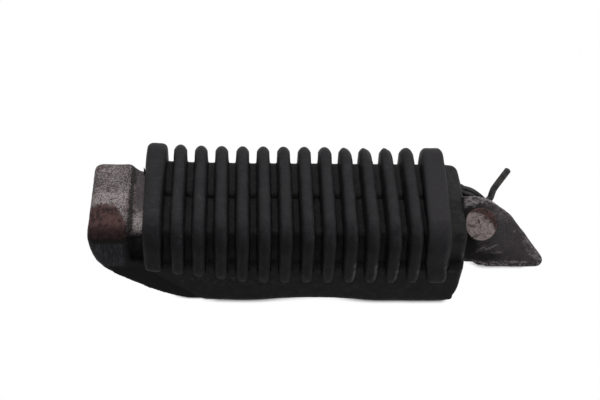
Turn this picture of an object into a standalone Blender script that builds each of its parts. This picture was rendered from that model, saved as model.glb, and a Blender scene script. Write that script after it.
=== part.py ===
"""A folding motorcycle footpeg: a forged steel peg in a finned rubber tread, hinged on a clevis pin.

Metres, +Z up. -X is the outer end with the upturned knob, +X is the fork that folds on the motorcycle's bracket.
The peg lies on the flat underside of its tread at z = 0. Sizes below are in millimetres.
"""

import math

import bmesh
import bpy
from mathutils import Matrix, Vector

MM = 0.001
GAP = 0.3  # between pieces that touch on the real footpeg
SKIN = 0.05  # keeps joined faces from lying in one plane

# Rubber tread, along X
TREAD_LENGTH = 115.4
FIN_COUNT = 12  # between the outer fin and the flange
FIN_ROOT = 5.1
FIN_TIP = 4.2
OUTER_FIN_LENGTH = 6.6
FLANGE_LENGTH = 8.6
COLLAR_LENGTH = 5.2
FIN_EDGE_RADIUS = 1.8
COLLAR_EDGE_RADIUS = 1.9
END_BOW = 1.8  # how far the inner end draws back towards its sides
# Rubber tread, across
FLOOR_HALF_WIDTH = 20.0
FLOOR_TOP = 31.7
FLOOR_CORNER = 3.0
FIN_HEIGHT = 6.3
SKIRT_HALF_WIDTH = 23.8
SKIRT_CORNER = 3.0
LEDGE_HEIGHT = 19.0
LEDGE_FALL = 0.6  # the ledge slopes down a little towards the skirt
FIN_END_HEIGHT = 12.5
FIN_END_RISE = 0.175  # slope of the fins' lower ends towards the outer end
RISE_LENGTH = 37.0
CROWN_LIFT = 1.7
CROWN_LENGTH = 30.0
NOTCH_HALF_WIDTH = 0.6
NOTCH_DEPTH = 0.9
ARCH_HEIGHT = 1.6
ARCH_FOOT_OUTER = 32.0  # from the tread's outer end to where the arch starts
ARCH_FOOT_INNER = 30.0
UNDERCUT_ANGLE = math.radians(38.4)  # the tread's outer end under the fins
HEEL_SLANT = 2.8
HEEL_HEIGHT = 15.0
HEEL_CORNER = 4.5

# Forged body
CUT_MARGIN = 10.0  # how far cutters reach past what they cut
CORE_HALF_WIDTH = 16.5
CORE_BOTTOM = 6.0
CORE_TOP = 27.0
CORE_CORNER = 2.0
KNOB_LENGTH = 15.3
KNOB_HALF_WIDTH = 19.6
KNOB_TOP = 31.9
KNOB_TOP_EDGE = 4.5
KNOB_EDGE = 2.5
WEDGE_HALF_WIDTH = 21.8  # at its foot
WEDGE_SHOULDER = 16.6  # height of its heel
WEDGE_SETBACK = 3.2  # of its heel from the knob's outer face
WEDGE_LENGTH = 31.9  # from heel to foot
WEDGE_ANGLE = math.radians(35)  # at its heel
WEDGE_FOOT_ANGLE = math.radians(11)
SHELF_HEIGHT = 18.7  # top of the wedge beside the neck
WEDGE_BOTTOM = 0.4
NECK_LENGTH = 4.8
NECK_HALF_WIDTH = 17.2
NECK_TOP = 30.4
NECK_EDGE = 4.0
NECK_FLARE = 1.3  # how far the neck spreads where it meets the knob
NECK_FLARE_LENGTH = 2.6
NECK_DEPTH = 4.0  # how far the neck reaches down into the wedge

# Fork and pivot
PIVOT_TILT = math.radians(45)
PIVOT_HEIGHT = 18.2
PIVOT_OFFSET = 6.4  # from the tread's inner end
FORK_SPAN = 22.0
SLOT_WIDTH = 11.6
SLOT_ROOT = 8.0  # from the pivot
EAR_REACH = 11.65  # from the pivot to the slanting edge
EAR_TOP = 10.35
CREST_RADIUS = 18.0  # between the top and the slanting edge
EAR_EDGE = 1.6
NOSE_ANGLE = math.radians(53.13)
NOSE_RADIUS = 2.5
NOSE_DEPTH = 15.5
ROOT_DEPTH = 13.2
ROOT_STEP_START = -0.6
ROOT_STEP_LENGTH = 3.6
ROOT_INSET = 5.0  # how far the fork reaches into the tread
BOSS_RADIUS = 6.7
BOSS_HEIGHT = 0.3

# Pin, washer and split pin
PIN_RADIUS = 4.0
BORE_CLEARANCE = 0.35
HEAD_RADIUS = 6.0
HEAD_THICKNESS = 2.4
HEAD_CHAMFER = 0.4
PIN_CHAMFER = 0.7
PIN_TAIL = 3.0  # beyond the split pin
WASHER_RADIUS = 6.5
WASHER_THICKNESS = 1.4
SPLIT_WIRE_RADIUS = 0.45
SPLIT_LEG_SPREAD = 0.55
SPLIT_HOLE_CLEARANCE = 0.3
SPLIT_EYE_RADIUS = 1.1
SPLIT_LEG_BEND = 0.7
SPLIT_LEG_WRAP = math.radians(62)

# Return spring
WIRE_RADIUS = 1.15
COIL_RADIUS = 5.6
COIL_PITCH = 2.6
COIL_TURNS = 1.625
COIL_START = math.radians(-10)
ARCH_LEG_INSERT = 6.0  # how far the hooked leg lies inside the tread
HOOK_BENDS = ((-5.5, -0.4), (-4.2, -1.1), (-1.4, -1.9))  # u, and v from the leg's straight end
FREE_LEG = ((0.2, 6.9), (3.3, 8.3), (5.1, 9.7), (6.0, 12.0), (7.1, 14.0), (11.5, 19.8))

# Derived places
FINNED_LENGTH = TREAD_LENGTH - OUTER_FIN_LENGTH - FLANGE_LENGTH - COLLAR_LENGTH
GROOVE_ROOT = (FINNED_LENGTH - FIN_COUNT * FIN_ROOT) / (FIN_COUNT + 1)
NOSE_CENTRE_U = (
    EAR_REACH - NOSE_RADIUS + math.cos(NOSE_ANGLE) * (NOSE_DEPTH - NOSE_RADIUS)
) / math.sin(NOSE_ANGLE)
NOSE_REACH = NOSE_CENTRE_U + NOSE_RADIUS
TOTAL_LENGTH = KNOB_LENGTH + NECK_LENGTH + TREAD_LENGTH + PIVOT_OFFSET + NOSE_REACH
KNOB_X = -TOTAL_LENGTH / 2
NECK_X = KNOB_X + KNOB_LENGTH
TREAD_X = NECK_X + NECK_LENGTH
TREAD_END_X = TREAD_X + TREAD_LENGTH
PIVOT_X = TREAD_END_X + PIVOT_OFFSET
EAR_FACE = FORK_SPAN / 2
SEAT_FACE = EAR_FACE + BOSS_HEIGHT
BORE_RADIUS = PIN_RADIUS + BORE_CLEARANCE
WASHER_OUTER = -(SEAT_FACE + GAP + WASHER_THICKNESS)
SPLIT_PLACE = WASHER_OUTER - GAP - SPLIT_WIRE_RADIUS
SPLIT_HOLE_RADIUS = SPLIT_LEG_SPREAD + SPLIT_WIRE_RADIUS + SPLIT_HOLE_CLEARANCE
PIVOT_FRAME = (
    Matrix.Translation(Vector((PIVOT_X, 0, PIVOT_HEIGHT)) * MM)
    @ Matrix.Rotation(PIVOT_TILT, 4, "X")
)


def clear_scene():
    for obj in list(bpy.data.objects):
        bpy.data.objects.remove(obj)


def make_material(name, colour, roughness, metallic):
    material = bpy.data.materials.new(name)
    material.use_nodes = True
    shader = material.node_tree.nodes["Principled BSDF"]
    shader.inputs["Base Color"].default_value = (*colour, 1)
    shader.inputs["Roughness"].default_value = roughness
    shader.inputs["Metallic"].default_value = metallic
    return material


def make_object(name, bm, material=None):
    """An object from a bmesh in millimetres, with its faces turned out."""
    bmesh.ops.recalc_face_normals(bm, faces=bm.faces)
    if bm.calc_volume(signed=True) < 0:
        bmesh.ops.reverse_faces(bm, faces=bm.faces)
    bmesh.ops.triangulate(bm, faces=[face for face in bm.faces if len(face.verts) > 3])
    bmesh.ops.scale(bm, vec=(MM, MM, MM), verts=bm.verts)
    mesh = bpy.data.meshes.new(name)
    bm.to_mesh(mesh)
    bm.free()
    mesh.shade_smooth()
    mesh.set_sharp_from_angle(angle=math.radians(32))
    obj = bpy.data.objects.new(name, mesh)
    bpy.context.scene.collection.objects.link(obj)
    if material:
        mesh.materials.append(material)
    return obj


def make_helper(name, bm):
    """A shape that only joins or cuts another one."""
    obj = make_object(name, bm)
    obj.hide_render = True
    obj.display_type = "WIRE"
    return obj


def combine(target, operation, helper):
    modifier = target.modifiers.new(helper.name, "BOOLEAN")
    modifier.operation = operation
    modifier.solver = "EXACT"
    modifier.object = helper


def loft(rings):
    """A closed skin through rings of equally many points, each end capped."""
    bm = bmesh.new()
    rows = [[bm.verts.new(point) for point in ring] for ring in rings]
    for low, high in zip(rows, rows[1:]):
        for i, vert in enumerate(low):
            j = (i + 1) % len(low)
            bm.faces.new((vert, low[j], high[j], high[i]))
    bm.faces.new(rows[0][::-1])
    bm.faces.new(rows[-1])
    return bm


def turned(profile, sides):
    """A solid turned about local Z from (radius, height) pairs."""
    angles = [2 * math.pi * i / sides for i in range(sides)]
    return loft([[(r * math.cos(a), r * math.sin(a), h) for a in angles] for r, h in profile])


def prism(outline, low, high, place):
    """An outline drawn across from low to high; place(a, b, depth) gives each point."""
    return loft([[place(a, b, depth) for a, b in outline] for depth in (low, high)])


def arc(centre, radius, start, end, steps):
    angles = [start + (end - start) * i / steps for i in range(steps + 1)]
    return [(centre[0] + radius * math.cos(a), centre[1] + radius * math.sin(a)) for a in angles]


def rounded_box_section(half_width, bottom, top, radius, steps=3):
    """Points of an upright rounded rectangle in (y, z)."""
    corners = (
        ((half_width - radius, bottom + radius), -math.pi / 2),
        ((half_width - radius, top - radius), 0),
        ((radius - half_width, top - radius), math.pi / 2),
        ((radius - half_width, bottom + radius), math.pi),
    )
    points = []
    for centre, start in corners:
        points += arc(centre, radius, start, start + math.pi / 2, steps)
    return points


def side_view(x, z, y):
    return (x, y, z)


# Rubber tread


def arch_height(x):
    """The underside lifts a little between its two feet."""
    start = TREAD_X + ARCH_FOOT_OUTER
    end = TREAD_END_X - ARCH_FOOT_INNER
    share = min(max((x - start) / (end - start), 0), 1)
    return ARCH_HEIGHT * math.sin(math.pi * share) ** 2


def crown(x):
    """The top rises towards the outer end."""
    share = min(max(1 - (x - TREAD_X) / CROWN_LENGTH, 0), 1)
    return CROWN_LIFT * share**2


def tread_half_section(x, grow):
    """Half the outline in (y, z) from the bottom centre to the top centre; grow is 0 in a groove, 1 on a fin."""
    bottom = arch_height(x)
    half_width = FLOOR_HALF_WIDTH + FIN_HEIGHT * grow
    top = FLOOR_TOP + FIN_HEIGHT * grow + crown(x)
    radius = FLOOR_CORNER + FIN_HEIGHT * grow
    rise = FIN_END_RISE * max(RISE_LENGTH - (x - TREAD_X), 0)
    ledge_edge = LEDGE_HEIGHT - LEDGE_FALL
    fin_end = FIN_END_HEIGHT + rise
    points = [(0, bottom), ((SKIRT_HALF_WIDTH - SKIRT_CORNER) / 2, bottom)]
    points += arc(
        (SKIRT_HALF_WIDTH - SKIRT_CORNER, bottom + SKIRT_CORNER), SKIRT_CORNER, -math.pi / 2, 0, 2
    )
    points.append((SKIRT_HALF_WIDTH, ledge_edge + (fin_end - ledge_edge) * grow**2))
    points.append((half_width, LEDGE_HEIGHT + rise * grow / 2))
    points += arc((half_width - radius, top - radius), radius, 0, math.pi / 2, 4)
    points.append((NOTCH_HALF_WIDTH, top))
    points.append((0, top - NOTCH_DEPTH * (1 - grow)))
    return points


def tread_ring(x, grow, bow):
    half = tread_half_section(x, grow)
    outline = half + [(-y, z) for y, z in half[-2:0:-1]]
    ring = []
    for y, z in outline:
        share = max(abs(y) / FLOOR_HALF_WIDTH - 0.4, 0)
        ring.append((x - bow * share**2, y, z))
    return ring


def fin_stations(start, root, tip):
    """(x, grow) pairs over one fin: root, flank, rounded edges, flank, root."""
    inset = (root - tip) / 2
    rise = FIN_EDGE_RADIUS / FIN_HEIGHT
    edge = []
    for angle in (0, 45, 90):
        turn = math.radians(angle)
        across = inset + FIN_EDGE_RADIUS * (1 - math.cos(turn))
        edge.append((across, 1 - rise * (1 - math.sin(turn))))
    near = [(start, 0)] + [(start + across, grow) for across, grow in edge]
    far = [(start + root - across, grow) for across, grow in reversed(edge)] + [(start + root, 0)]
    return near + far


def tread_stations():
    """(x, grow, bow) along the whole tread."""
    draft = FIN_ROOT - FIN_TIP
    stations = [(TREAD_X + draft / 4, 0, 0)]
    first = fin_stations(TREAD_X, OUTER_FIN_LENGTH, OUTER_FIN_LENGTH - draft)
    stations += [(x, grow, 0) for x, grow in first[1:]]
    x = TREAD_X + OUTER_FIN_LENGTH + GROOVE_ROOT
    for _ in range(FIN_COUNT):
        stations += [(place, grow, 0) for place, grow in fin_stations(x, FIN_ROOT, FIN_TIP)]
        x += FIN_ROOT + GROOVE_ROOT
    flange = fin_stations(x, FLANGE_LENGTH, FLANGE_LENGTH - draft)
    half = len(flange) // 2
    stations += [(place, grow, 0) for place, grow in flange[:half]]
    stations += [(place, grow, END_BOW / 2) for place, grow in flange[half:]]
    return stations


def collar_rings():
    """The plain inner end, its edge rounded and drawn in."""
    rings = []
    for angle in (0, 30, 60, 90):
        turn = math.radians(angle)
        x = TREAD_END_X - COLLAR_EDGE_RADIUS * (1 - math.sin(turn))
        shrink = COLLAR_EDGE_RADIUS * (1 - math.cos(turn))
        ring = []
        for px, y, z in tread_ring(x, 0, END_BOW):
            lower = max(z - shrink * (z > LEDGE_HEIGHT), arch_height(x))
            ring.append((px, y - math.copysign(shrink, y) * (abs(y) > COLLAR_EDGE_RADIUS * 2), lower))
        rings.append(ring)
    return rings


def make_tread(material):
    rings = [tread_ring(x, grow, bow) for x, grow, bow in tread_stations()] + collar_rings()
    tread = make_object("rubber_tread", loft(rings), material)
    combine(tread, "DIFFERENCE", undercut_cutter())
    combine(tread, "DIFFERENCE", heel_cutter())
    combine(tread, "DIFFERENCE", core_cutter())
    combine(tread, "DIFFERENCE", spring_pocket_cutter())
    return tread


def undercut_line(x):
    """Height of the sloping cut under the tread's outer end."""
    return LEDGE_HEIGHT - math.tan(UNDERCUT_ANGLE) * (x - TREAD_X)


def undercut_cutter():
    """Everything under the sloping cut."""
    low = -CUT_MARGIN
    far = TREAD_X + (LEDGE_HEIGHT - low) / math.tan(UNDERCUT_ANGLE)
    near = TREAD_X - CUT_MARGIN
    outline = [(near, low), (far, low), (near, undercut_line(near))]
    half = SKIRT_HALF_WIDTH + FIN_HEIGHT + CUT_MARGIN
    return make_helper("undercut", prism(outline, -half, half, side_view))


def heel_cutter():
    """The inner end of the skirt slants back towards its foot."""
    slant_x = TREAD_END_X - HEEL_SLANT
    slope = HEEL_SLANT / (HEEL_HEIGHT - HEEL_CORNER)
    above = HEEL_HEIGHT + HEEL_CORNER
    outline = [
        (TREAD_END_X + slope * HEEL_CORNER, above),
        (slant_x, HEEL_CORNER),
        (slant_x - 0.3 * HEEL_CORNER, 0.4 * HEEL_CORNER),
        (slant_x - HEEL_CORNER, -0.2 * HEEL_CORNER),
        (slant_x, -CUT_MARGIN),
        (TREAD_END_X + CUT_MARGIN, -CUT_MARGIN),
        (TREAD_END_X + CUT_MARGIN, above),
    ]
    half = SKIRT_HALF_WIDTH + CUT_MARGIN
    return make_helper("heel", prism(outline, -half, half, side_view))


def core_cutter():
    """The hole through the tread, one clearance larger than the core."""
    section = rounded_box_section(
        CORE_HALF_WIDTH + GAP, CORE_BOTTOM - GAP, CORE_TOP + GAP, CORE_CORNER + GAP
    )
    ends = (TREAD_X - CUT_MARGIN, TREAD_END_X + CUT_MARGIN)
    return make_helper("core_hole", loft([[(x, y, z) for y, z in section] for x in ends]))


def hooked_leg_place():
    """Where the spring's hooked leg lies: (v, s) in the pivot's frame, on top of the core."""
    s = SLOT_WIDTH / 2 - GAP - WIRE_RADIUS - COIL_TURNS * COIL_PITCH
    height = CORE_TOP + GAP + WIRE_RADIUS - PIVOT_HEIGHT
    v = (height - s * math.sin(PIVOT_TILT)) / math.cos(PIVOT_TILT)
    return v, s


def spring_pocket_cutter():
    """A groove over the core, where the spring's hooked leg lies."""
    v, s = hooked_leg_place()
    y = v * math.sin(PIVOT_TILT) - s * math.cos(PIVOT_TILT)
    half = WIRE_RADIUS + GAP
    top = CORE_TOP + 2 * GAP + 2 * WIRE_RADIUS
    outline = [(y - half, CORE_TOP), (y + half, CORE_TOP), (y + half, top - half / 2)]
    outline += [(y + half / 2, top), (y - half / 2, top), (y - half, top - half / 2)]
    ends = (TREAD_END_X - ARCH_LEG_INSERT - GAP, TREAD_END_X + PIVOT_OFFSET)
    return make_helper("spring_pocket", loft([[(x, a, b) for a, b in outline] for x in ends]))


# Forged body


def core_section(grow=0.0):
    return rounded_box_section(
        CORE_HALF_WIDTH + grow, CORE_BOTTOM - grow, CORE_TOP + grow, CORE_CORNER + grow
    )


def core_bar():
    """The flat bar inside the tread; its outer end thins inside the wedge."""
    thin = SHELF_HEIGHT - NECK_DEPTH / 2
    over_wedge = [point.x for point in wedge_underside() if point.y < CORE_BOTTOM]
    stations = (
        (NECK_X - NECK_FLARE_LENGTH, thin),
        (over_wedge[0], CORE_BOTTOM),
        (TREAD_END_X - GAP, CORE_BOTTOM),
    )
    rings = []
    for x, bottom in stations:
        section = rounded_box_section(CORE_HALF_WIDTH, bottom, CORE_TOP, CORE_CORNER)
        rings.append([(x, y, z) for y, z in section])
    return loft(rings)


def wedge_underside():
    """Side view (x, z) of the wedge's underside, a curve from its heel to its foot."""
    heel = Vector((KNOB_X + WEDGE_SETBACK, WEDGE_SHOULDER))
    foot = heel + Vector((WEDGE_LENGTH, WEDGE_BOTTOM - WEDGE_SHOULDER))
    heel_slope = math.tan(WEDGE_ANGLE)
    foot_slope = math.tan(WEDGE_FOOT_ANGLE)
    bend_x = (heel.y - foot.y - foot_slope * WEDGE_LENGTH) / (heel_slope - foot_slope)
    bend = heel + Vector((bend_x, -bend_x * heel_slope))
    steps = 6
    curve = []
    for i in range(steps + 1):
        share = i / steps
        curve.append(heel.lerp(bend, share).lerp(bend.lerp(foot, share), share))
    return curve


def make_body(material):
    body = make_object("footpeg_body", core_bar(), material)
    combine(body, "UNION", make_knob())
    combine(body, "UNION", make_neck())
    combine(body, "UNION", make_fork())
    combine(body, "DIFFERENCE", slot_cutter())
    combine(body, "DIFFERENCE", bore_cutter())
    return body


def wedge_face(z):
    """x of the wedge's upper face, one gap short of the tread's sloping cut."""
    return TREAD_X + (LEDGE_HEIGHT - z - GAP / math.cos(UNDERCUT_ANGLE)) / math.tan(UNDERCUT_ANGLE)


def knob_outline():
    """Side view (x, z) of the knob and the wedge under it."""
    outer = []
    for back, up in ((0.0, 3.2), (0.12, 2.2), (0.36, 1.2), (0.7, 0.4)):
        outer.append((KNOB_X + back * WEDGE_SETBACK, WEDGE_SHOULDER + up * WEDGE_SETBACK))
    underside = [tuple(point) for point in wedge_underside()]
    return [(KNOB_X, KNOB_TOP)] + outer + underside + [
        (wedge_face(WEDGE_BOTTOM), WEDGE_BOTTOM),
        (wedge_face(SHELF_HEIGHT), SHELF_HEIGHT),
        (NECK_X, SHELF_HEIGHT),
        (NECK_X, KNOB_TOP),
    ]


def make_knob():
    bm = prism(knob_outline(), -KNOB_HALF_WIDTH, KNOB_HALF_WIDTH, side_view)
    bmesh.ops.recalc_face_normals(bm, faces=bm.faces)
    top_edges = []
    for edge in bm.edges:
        a, b = (vert.co for vert in edge.verts)
        if min(a.z, b.z) > KNOB_TOP - 1 and abs(a.y - b.y) < 1:
            top_edges.append(edge)
    bmesh.ops.bevel(
        bm, geom=top_edges, offset=KNOB_TOP_EDGE, segments=4, profile=0.5, affect="EDGES"
    )
    sharp = []
    for edge in bm.edges:
        a, b = (vert.co for vert in edge.verts)
        beside_knob = max(a.x, b.x) < NECK_X + 0.1 and max(a.z, b.z) > WEDGE_SHOULDER + 0.1
        if beside_knob and edge.calc_face_angle(0) > math.radians(50):
            sharp.append(edge)
    bmesh.ops.bevel(bm, geom=sharp, offset=KNOB_EDGE, segments=3, profile=0.5, affect="EDGES")
    wall_top = KNOB_TOP - KNOB_TOP_EDGE
    for vert in bm.verts:
        share = max(0.0, (wall_top - vert.co.z) / (wall_top - WEDGE_BOTTOM))
        vert.co.y *= 1 + share * (WEDGE_HALF_WIDTH / KNOB_HALF_WIDTH - 1)
    return make_helper("knob", bm)


def make_neck():
    """The narrower stretch between knob and tread, flared into the knob."""
    inner = TREAD_X - GAP
    stations = (
        (inner, 0.0),
        (NECK_X + NECK_FLARE_LENGTH, 0.0),
        (NECK_X + 0.35 * NECK_FLARE_LENGTH, 0.4 * NECK_FLARE),
        (NECK_X - SKIN, NECK_FLARE),
        (NECK_X - NECK_FLARE_LENGTH, NECK_FLARE),
    )
    rings = []
    for x, flare in stations:
        section = rounded_box_section(
            NECK_HALF_WIDTH + flare, SHELF_HEIGHT - NECK_DEPTH, NECK_TOP + flare / 2, NECK_EDGE
        )
        rings.append([(x, y, z) for y, z in section])
    return make_helper("neck", loft(rings))


def crest_centre():
    """Where an arc that touches the ear's top and its slanting edge is centred."""
    v = EAR_TOP - CREST_RADIUS
    u = (EAR_REACH - CREST_RADIUS - math.cos(NOSE_ANGLE) * v) / math.sin(NOSE_ANGLE)
    return u, v


def ear_outline():
    """Outline (u, v) of the fork's ears about the pivot, u along the peg."""
    start = -PIVOT_OFFSET - ROOT_INSET
    steps = 4
    step = []
    for i in range(steps + 1):
        share = i / steps
        drop = (NOSE_DEPTH - ROOT_DEPTH) * share * share * (3 - 2 * share)
        step.append((ROOT_STEP_START + ROOT_STEP_LENGTH * share, -ROOT_DEPTH - drop))
    nose = arc(
        (NOSE_CENTRE_U, NOSE_RADIUS - NOSE_DEPTH),
        NOSE_RADIUS,
        -math.pi / 2,
        math.pi / 2 - NOSE_ANGLE,
        4,
    )
    crest = arc(crest_centre(), CREST_RADIUS, math.pi / 2 - NOSE_ANGLE, math.pi / 2, 10)
    return [(start, -ROOT_DEPTH)] + step + nose + crest + [(start, EAR_TOP)]


def make_fork():
    def place(u, v, s):
        return (u, v, s)

    bm = prism(ear_outline(), -EAR_FACE, EAR_FACE, place)
    rim = []
    for edge in bm.edges:
        a, b = (vert.co for vert in edge.verts)
        if abs(a.z - b.z) < 0.01 and max(a.x, b.x) > -PIVOT_OFFSET:
            rim.append(edge)
    bmesh.ops.bevel(bm, geom=rim, offset=EAR_EDGE, segments=2, profile=0.5, affect="EDGES")
    fork = make_helper("fork", bm)
    fork.matrix_world = PIVOT_FRAME
    combine(fork, "UNION", boss())
    combine(fork, "DIFFERENCE", tread_clearance_cutter())
    return fork


def boss():
    """The raised seats for the pin's head and the washer."""
    profile = [(BOSS_RADIUS, -SEAT_FACE), (BOSS_RADIUS, SEAT_FACE)]
    seats = make_helper("seats", turned(profile, 40))
    seats.matrix_world = PIVOT_FRAME
    return seats


def tread_clearance_cutter():
    """A thick sleeve that trims the fork to the core's section wherever the tread covers it."""
    ends = (TREAD_END_X - 4 * ROOT_INSET, TREAD_END_X + GAP)
    outer = core_section(FORK_SPAN + NOSE_DEPTH)
    sleeve = make_helper("tread_space", loft([[(x, y, z) for y, z in outer] for x in ends]))
    longer = (ends[0] - CUT_MARGIN, ends[1] + CUT_MARGIN)
    inner = loft([[(x, y, z) for y, z in core_section(-SKIN)] for x in longer])
    combine(sleeve, "DIFFERENCE", make_helper("tread_space_hole", inner))
    return sleeve


def slot_cutter():
    """The slot between the ears, for the bracket's tongue."""
    reach = NOSE_REACH + CUT_MARGIN
    half = NOSE_DEPTH + EAR_TOP
    outline = [(-SLOT_ROOT, -half), (reach, -half), (reach, half), (-SLOT_ROOT, half)]

    def place(u, v, s):
        return (u, v, s)

    slot = make_helper("slot", prism(outline, -SLOT_WIDTH / 2, SLOT_WIDTH / 2, place))
    slot.matrix_world = PIVOT_FRAME
    return slot


def bore_cutter():
    reach = EAR_FACE + CUT_MARGIN
    bore = make_helper("bore", turned([(BORE_RADIUS, -reach), (BORE_RADIUS, reach)], 32))
    bore.matrix_world = PIVOT_FRAME
    return bore


# Pin, washer and split pin


def make_pivot():
    """The empty on the pin's axis, local Z towards the pin's head."""
    pivot = bpy.data.objects.new("pin_axis", None)
    bpy.context.scene.collection.objects.link(pivot)
    pivot.matrix_world = PIVOT_FRAME
    return pivot


def make_pin(pivot, material):
    under_head = SEAT_FACE + GAP
    head_top = under_head + HEAD_THICKNESS
    tail = SPLIT_PLACE - PIN_TAIL
    profile = [
        (PIN_RADIUS - PIN_CHAMFER, tail),
        (PIN_RADIUS, tail + PIN_CHAMFER),
        (PIN_RADIUS, under_head),
        (HEAD_RADIUS, under_head),
        (HEAD_RADIUS, head_top - HEAD_CHAMFER),
        (HEAD_RADIUS - HEAD_CHAMFER, head_top),
    ]
    pin = make_object("pivot_pin", turned(profile, 36), material)
    pin.parent = pivot
    reach = PIN_RADIUS * 2
    hole = make_helper("split_hole", turned([(SPLIT_HOLE_RADIUS, -reach), (SPLIT_HOLE_RADIUS, reach)], 16))
    hole.parent = pivot
    hole.location = (0, 0, SPLIT_PLACE * MM)
    hole.rotation_euler = (0, math.pi / 2, 0)
    combine(pin, "DIFFERENCE", hole)
    return pin


def make_washer(pivot, material):
    top = -(SEAT_FACE + GAP)
    sides = 32
    angles = [2 * math.pi * i / sides for i in range(sides)]
    profile = [
        (BORE_RADIUS, WASHER_OUTER),
        (WASHER_RADIUS, WASHER_OUTER),
        (WASHER_RADIUS, top),
        (BORE_RADIUS, top),
    ]
    bm = bmesh.new()
    rows = [[bm.verts.new((r * math.cos(a), r * math.sin(a), h)) for a in angles] for r, h in profile]
    for row, after in zip(rows, rows[1:] + rows[:1]):
        for i in range(sides):
            j = (i + 1) % sides
            bm.faces.new((row[i], row[j], after[j], after[i]))
    washer = make_object("pin_washer", bm, material)
    washer.parent = pivot
    return washer


def make_wire(name, points, radius, material, pivot):
    """A round wire through points in the pivot's frame."""
    curve = bpy.data.curves.new(name, "CURVE")
    curve.dimensions = "3D"
    curve.bevel_depth = radius * MM
    curve.bevel_resolution = 2
    curve.use_fill_caps = True
    spline = curve.splines.new("POLY")
    spline.points.add(len(points) - 1)
    for slot, point in zip(spline.points, points):
        slot.co = (*(Vector(point) * MM), 1)
    curve.materials.append(material)
    wire = bpy.data.objects.new(name, curve)
    bpy.context.scene.collection.objects.link(wire)
    wire.parent = pivot
    return wire


def make_split_pin(pivot, material):
    """One wire: a bent leg, through the pin, the eye, back through the pin, the other leg."""
    wrap = PIN_RADIUS + GAP + SPLIT_WIRE_RADIUS
    leave = math.asin((SPLIT_LEG_SPREAD + SPLIT_LEG_BEND) / wrap)
    bend_centre = (wrap * math.cos(leave) - SPLIT_LEG_BEND, SPLIT_LEG_SPREAD + SPLIT_LEG_BEND)
    leg = arc((0, 0), wrap, SPLIT_LEG_WRAP, leave, 5)[:-1]
    leg += arc(bend_centre, SPLIT_LEG_BEND, 0, -math.pi / 2, 4)
    open_angle = math.asin(SPLIT_LEG_SPREAD / SPLIT_EYE_RADIUS)
    eye_centre = -(PIN_RADIUS + 0.2 + SPLIT_EYE_RADIUS * math.cos(open_angle))
    eye = arc((eye_centre, 0), SPLIT_EYE_RADIUS, open_angle, 2 * math.pi - open_angle, 14)
    outline = leg + eye + [(u, -v) for u, v in reversed(leg)]
    points = [(u, v, SPLIT_PLACE) for u, v in outline]
    return make_wire("split_pin", points, SPLIT_WIRE_RADIUS, material, pivot)


# Return spring


def smooth_path(knots, steps):
    """Catmull-Rom points through the knots."""
    knots = [Vector(knot) for knot in knots]
    knots = [2 * knots[0] - knots[1]] + knots + [2 * knots[-1] - knots[-2]]
    points = []
    for before, start, end, after in zip(knots, knots[1:], knots[2:], knots[3:]):
        for i in range(steps):
            t = i / steps
            points.append(
                0.5
                * (
                    2 * start
                    + (end - before) * t
                    + (2 * before - 5 * start + 4 * end - after) * t**2
                    + (3 * start - before - 3 * end + after) * t**3
                )
            )
    points.append(knots[-2])
    return points


def make_spring(pivot, material):
    """The wire: a hooked leg, a coil around the pin and a free leg."""
    v, low = hooked_leg_place()
    hook = [(-PIVOT_OFFSET - ARCH_LEG_INSERT, v, low), (-PIVOT_OFFSET - WIRE_RADIUS, v, low)]
    for along, down in HOOK_BENDS:
        hook.append((along, v + down, low))
    for degrees, share in ((84, 1.95), (70, 1.71), (52, 1.46), (32, 1.24), (11, 1.07)):
        angle = math.radians(degrees)
        radius = share * COIL_RADIUS
        hook.append((radius * math.cos(angle), radius * math.sin(angle), low))
    steps = math.ceil(COIL_TURNS * 20)
    coil = []
    for i in range(steps + 1):
        angle = COIL_START - 2 * math.pi * COIL_TURNS * i / steps
        height = low + COIL_TURNS * COIL_PITCH * i / steps
        coil.append(Vector((COIL_RADIUS * math.cos(angle), COIL_RADIUS * math.sin(angle), height)))
    free = [(u, across, coil[-1].z) for u, across in FREE_LEG]
    points = smooth_path(hook, 2) + coil + smooth_path(free, 2)
    return make_wire("return_spring", points, WIRE_RADIUS, material, pivot)


def main():
    clear_scene()
    rubber = make_material("black_rubber", (0.022, 0.021, 0.024), 0.6, 0.0)
    iron = make_material("forged_steel", (0.16, 0.14, 0.13), 0.6, 0.7)
    steel = make_material("pin_steel", (0.42, 0.39, 0.37), 0.5, 0.9)
    wire = make_material("spring_steel", (0.09, 0.1, 0.1), 0.45, 0.8)
    pivot = make_pivot()
    make_body(iron)
    make_tread(rubber)
    make_pin(pivot, steel)
    make_washer(pivot, steel)
    make_split_pin(pivot, steel)
    make_spring(pivot, wire)


main()
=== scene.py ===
"""Looks for the folding motorcycle footpeg: worn steel in a finned rubber tread, on white."""

import math

import bmesh
import bpy
import numpy as np
from mathutils import Matrix, Vector, noise


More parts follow.
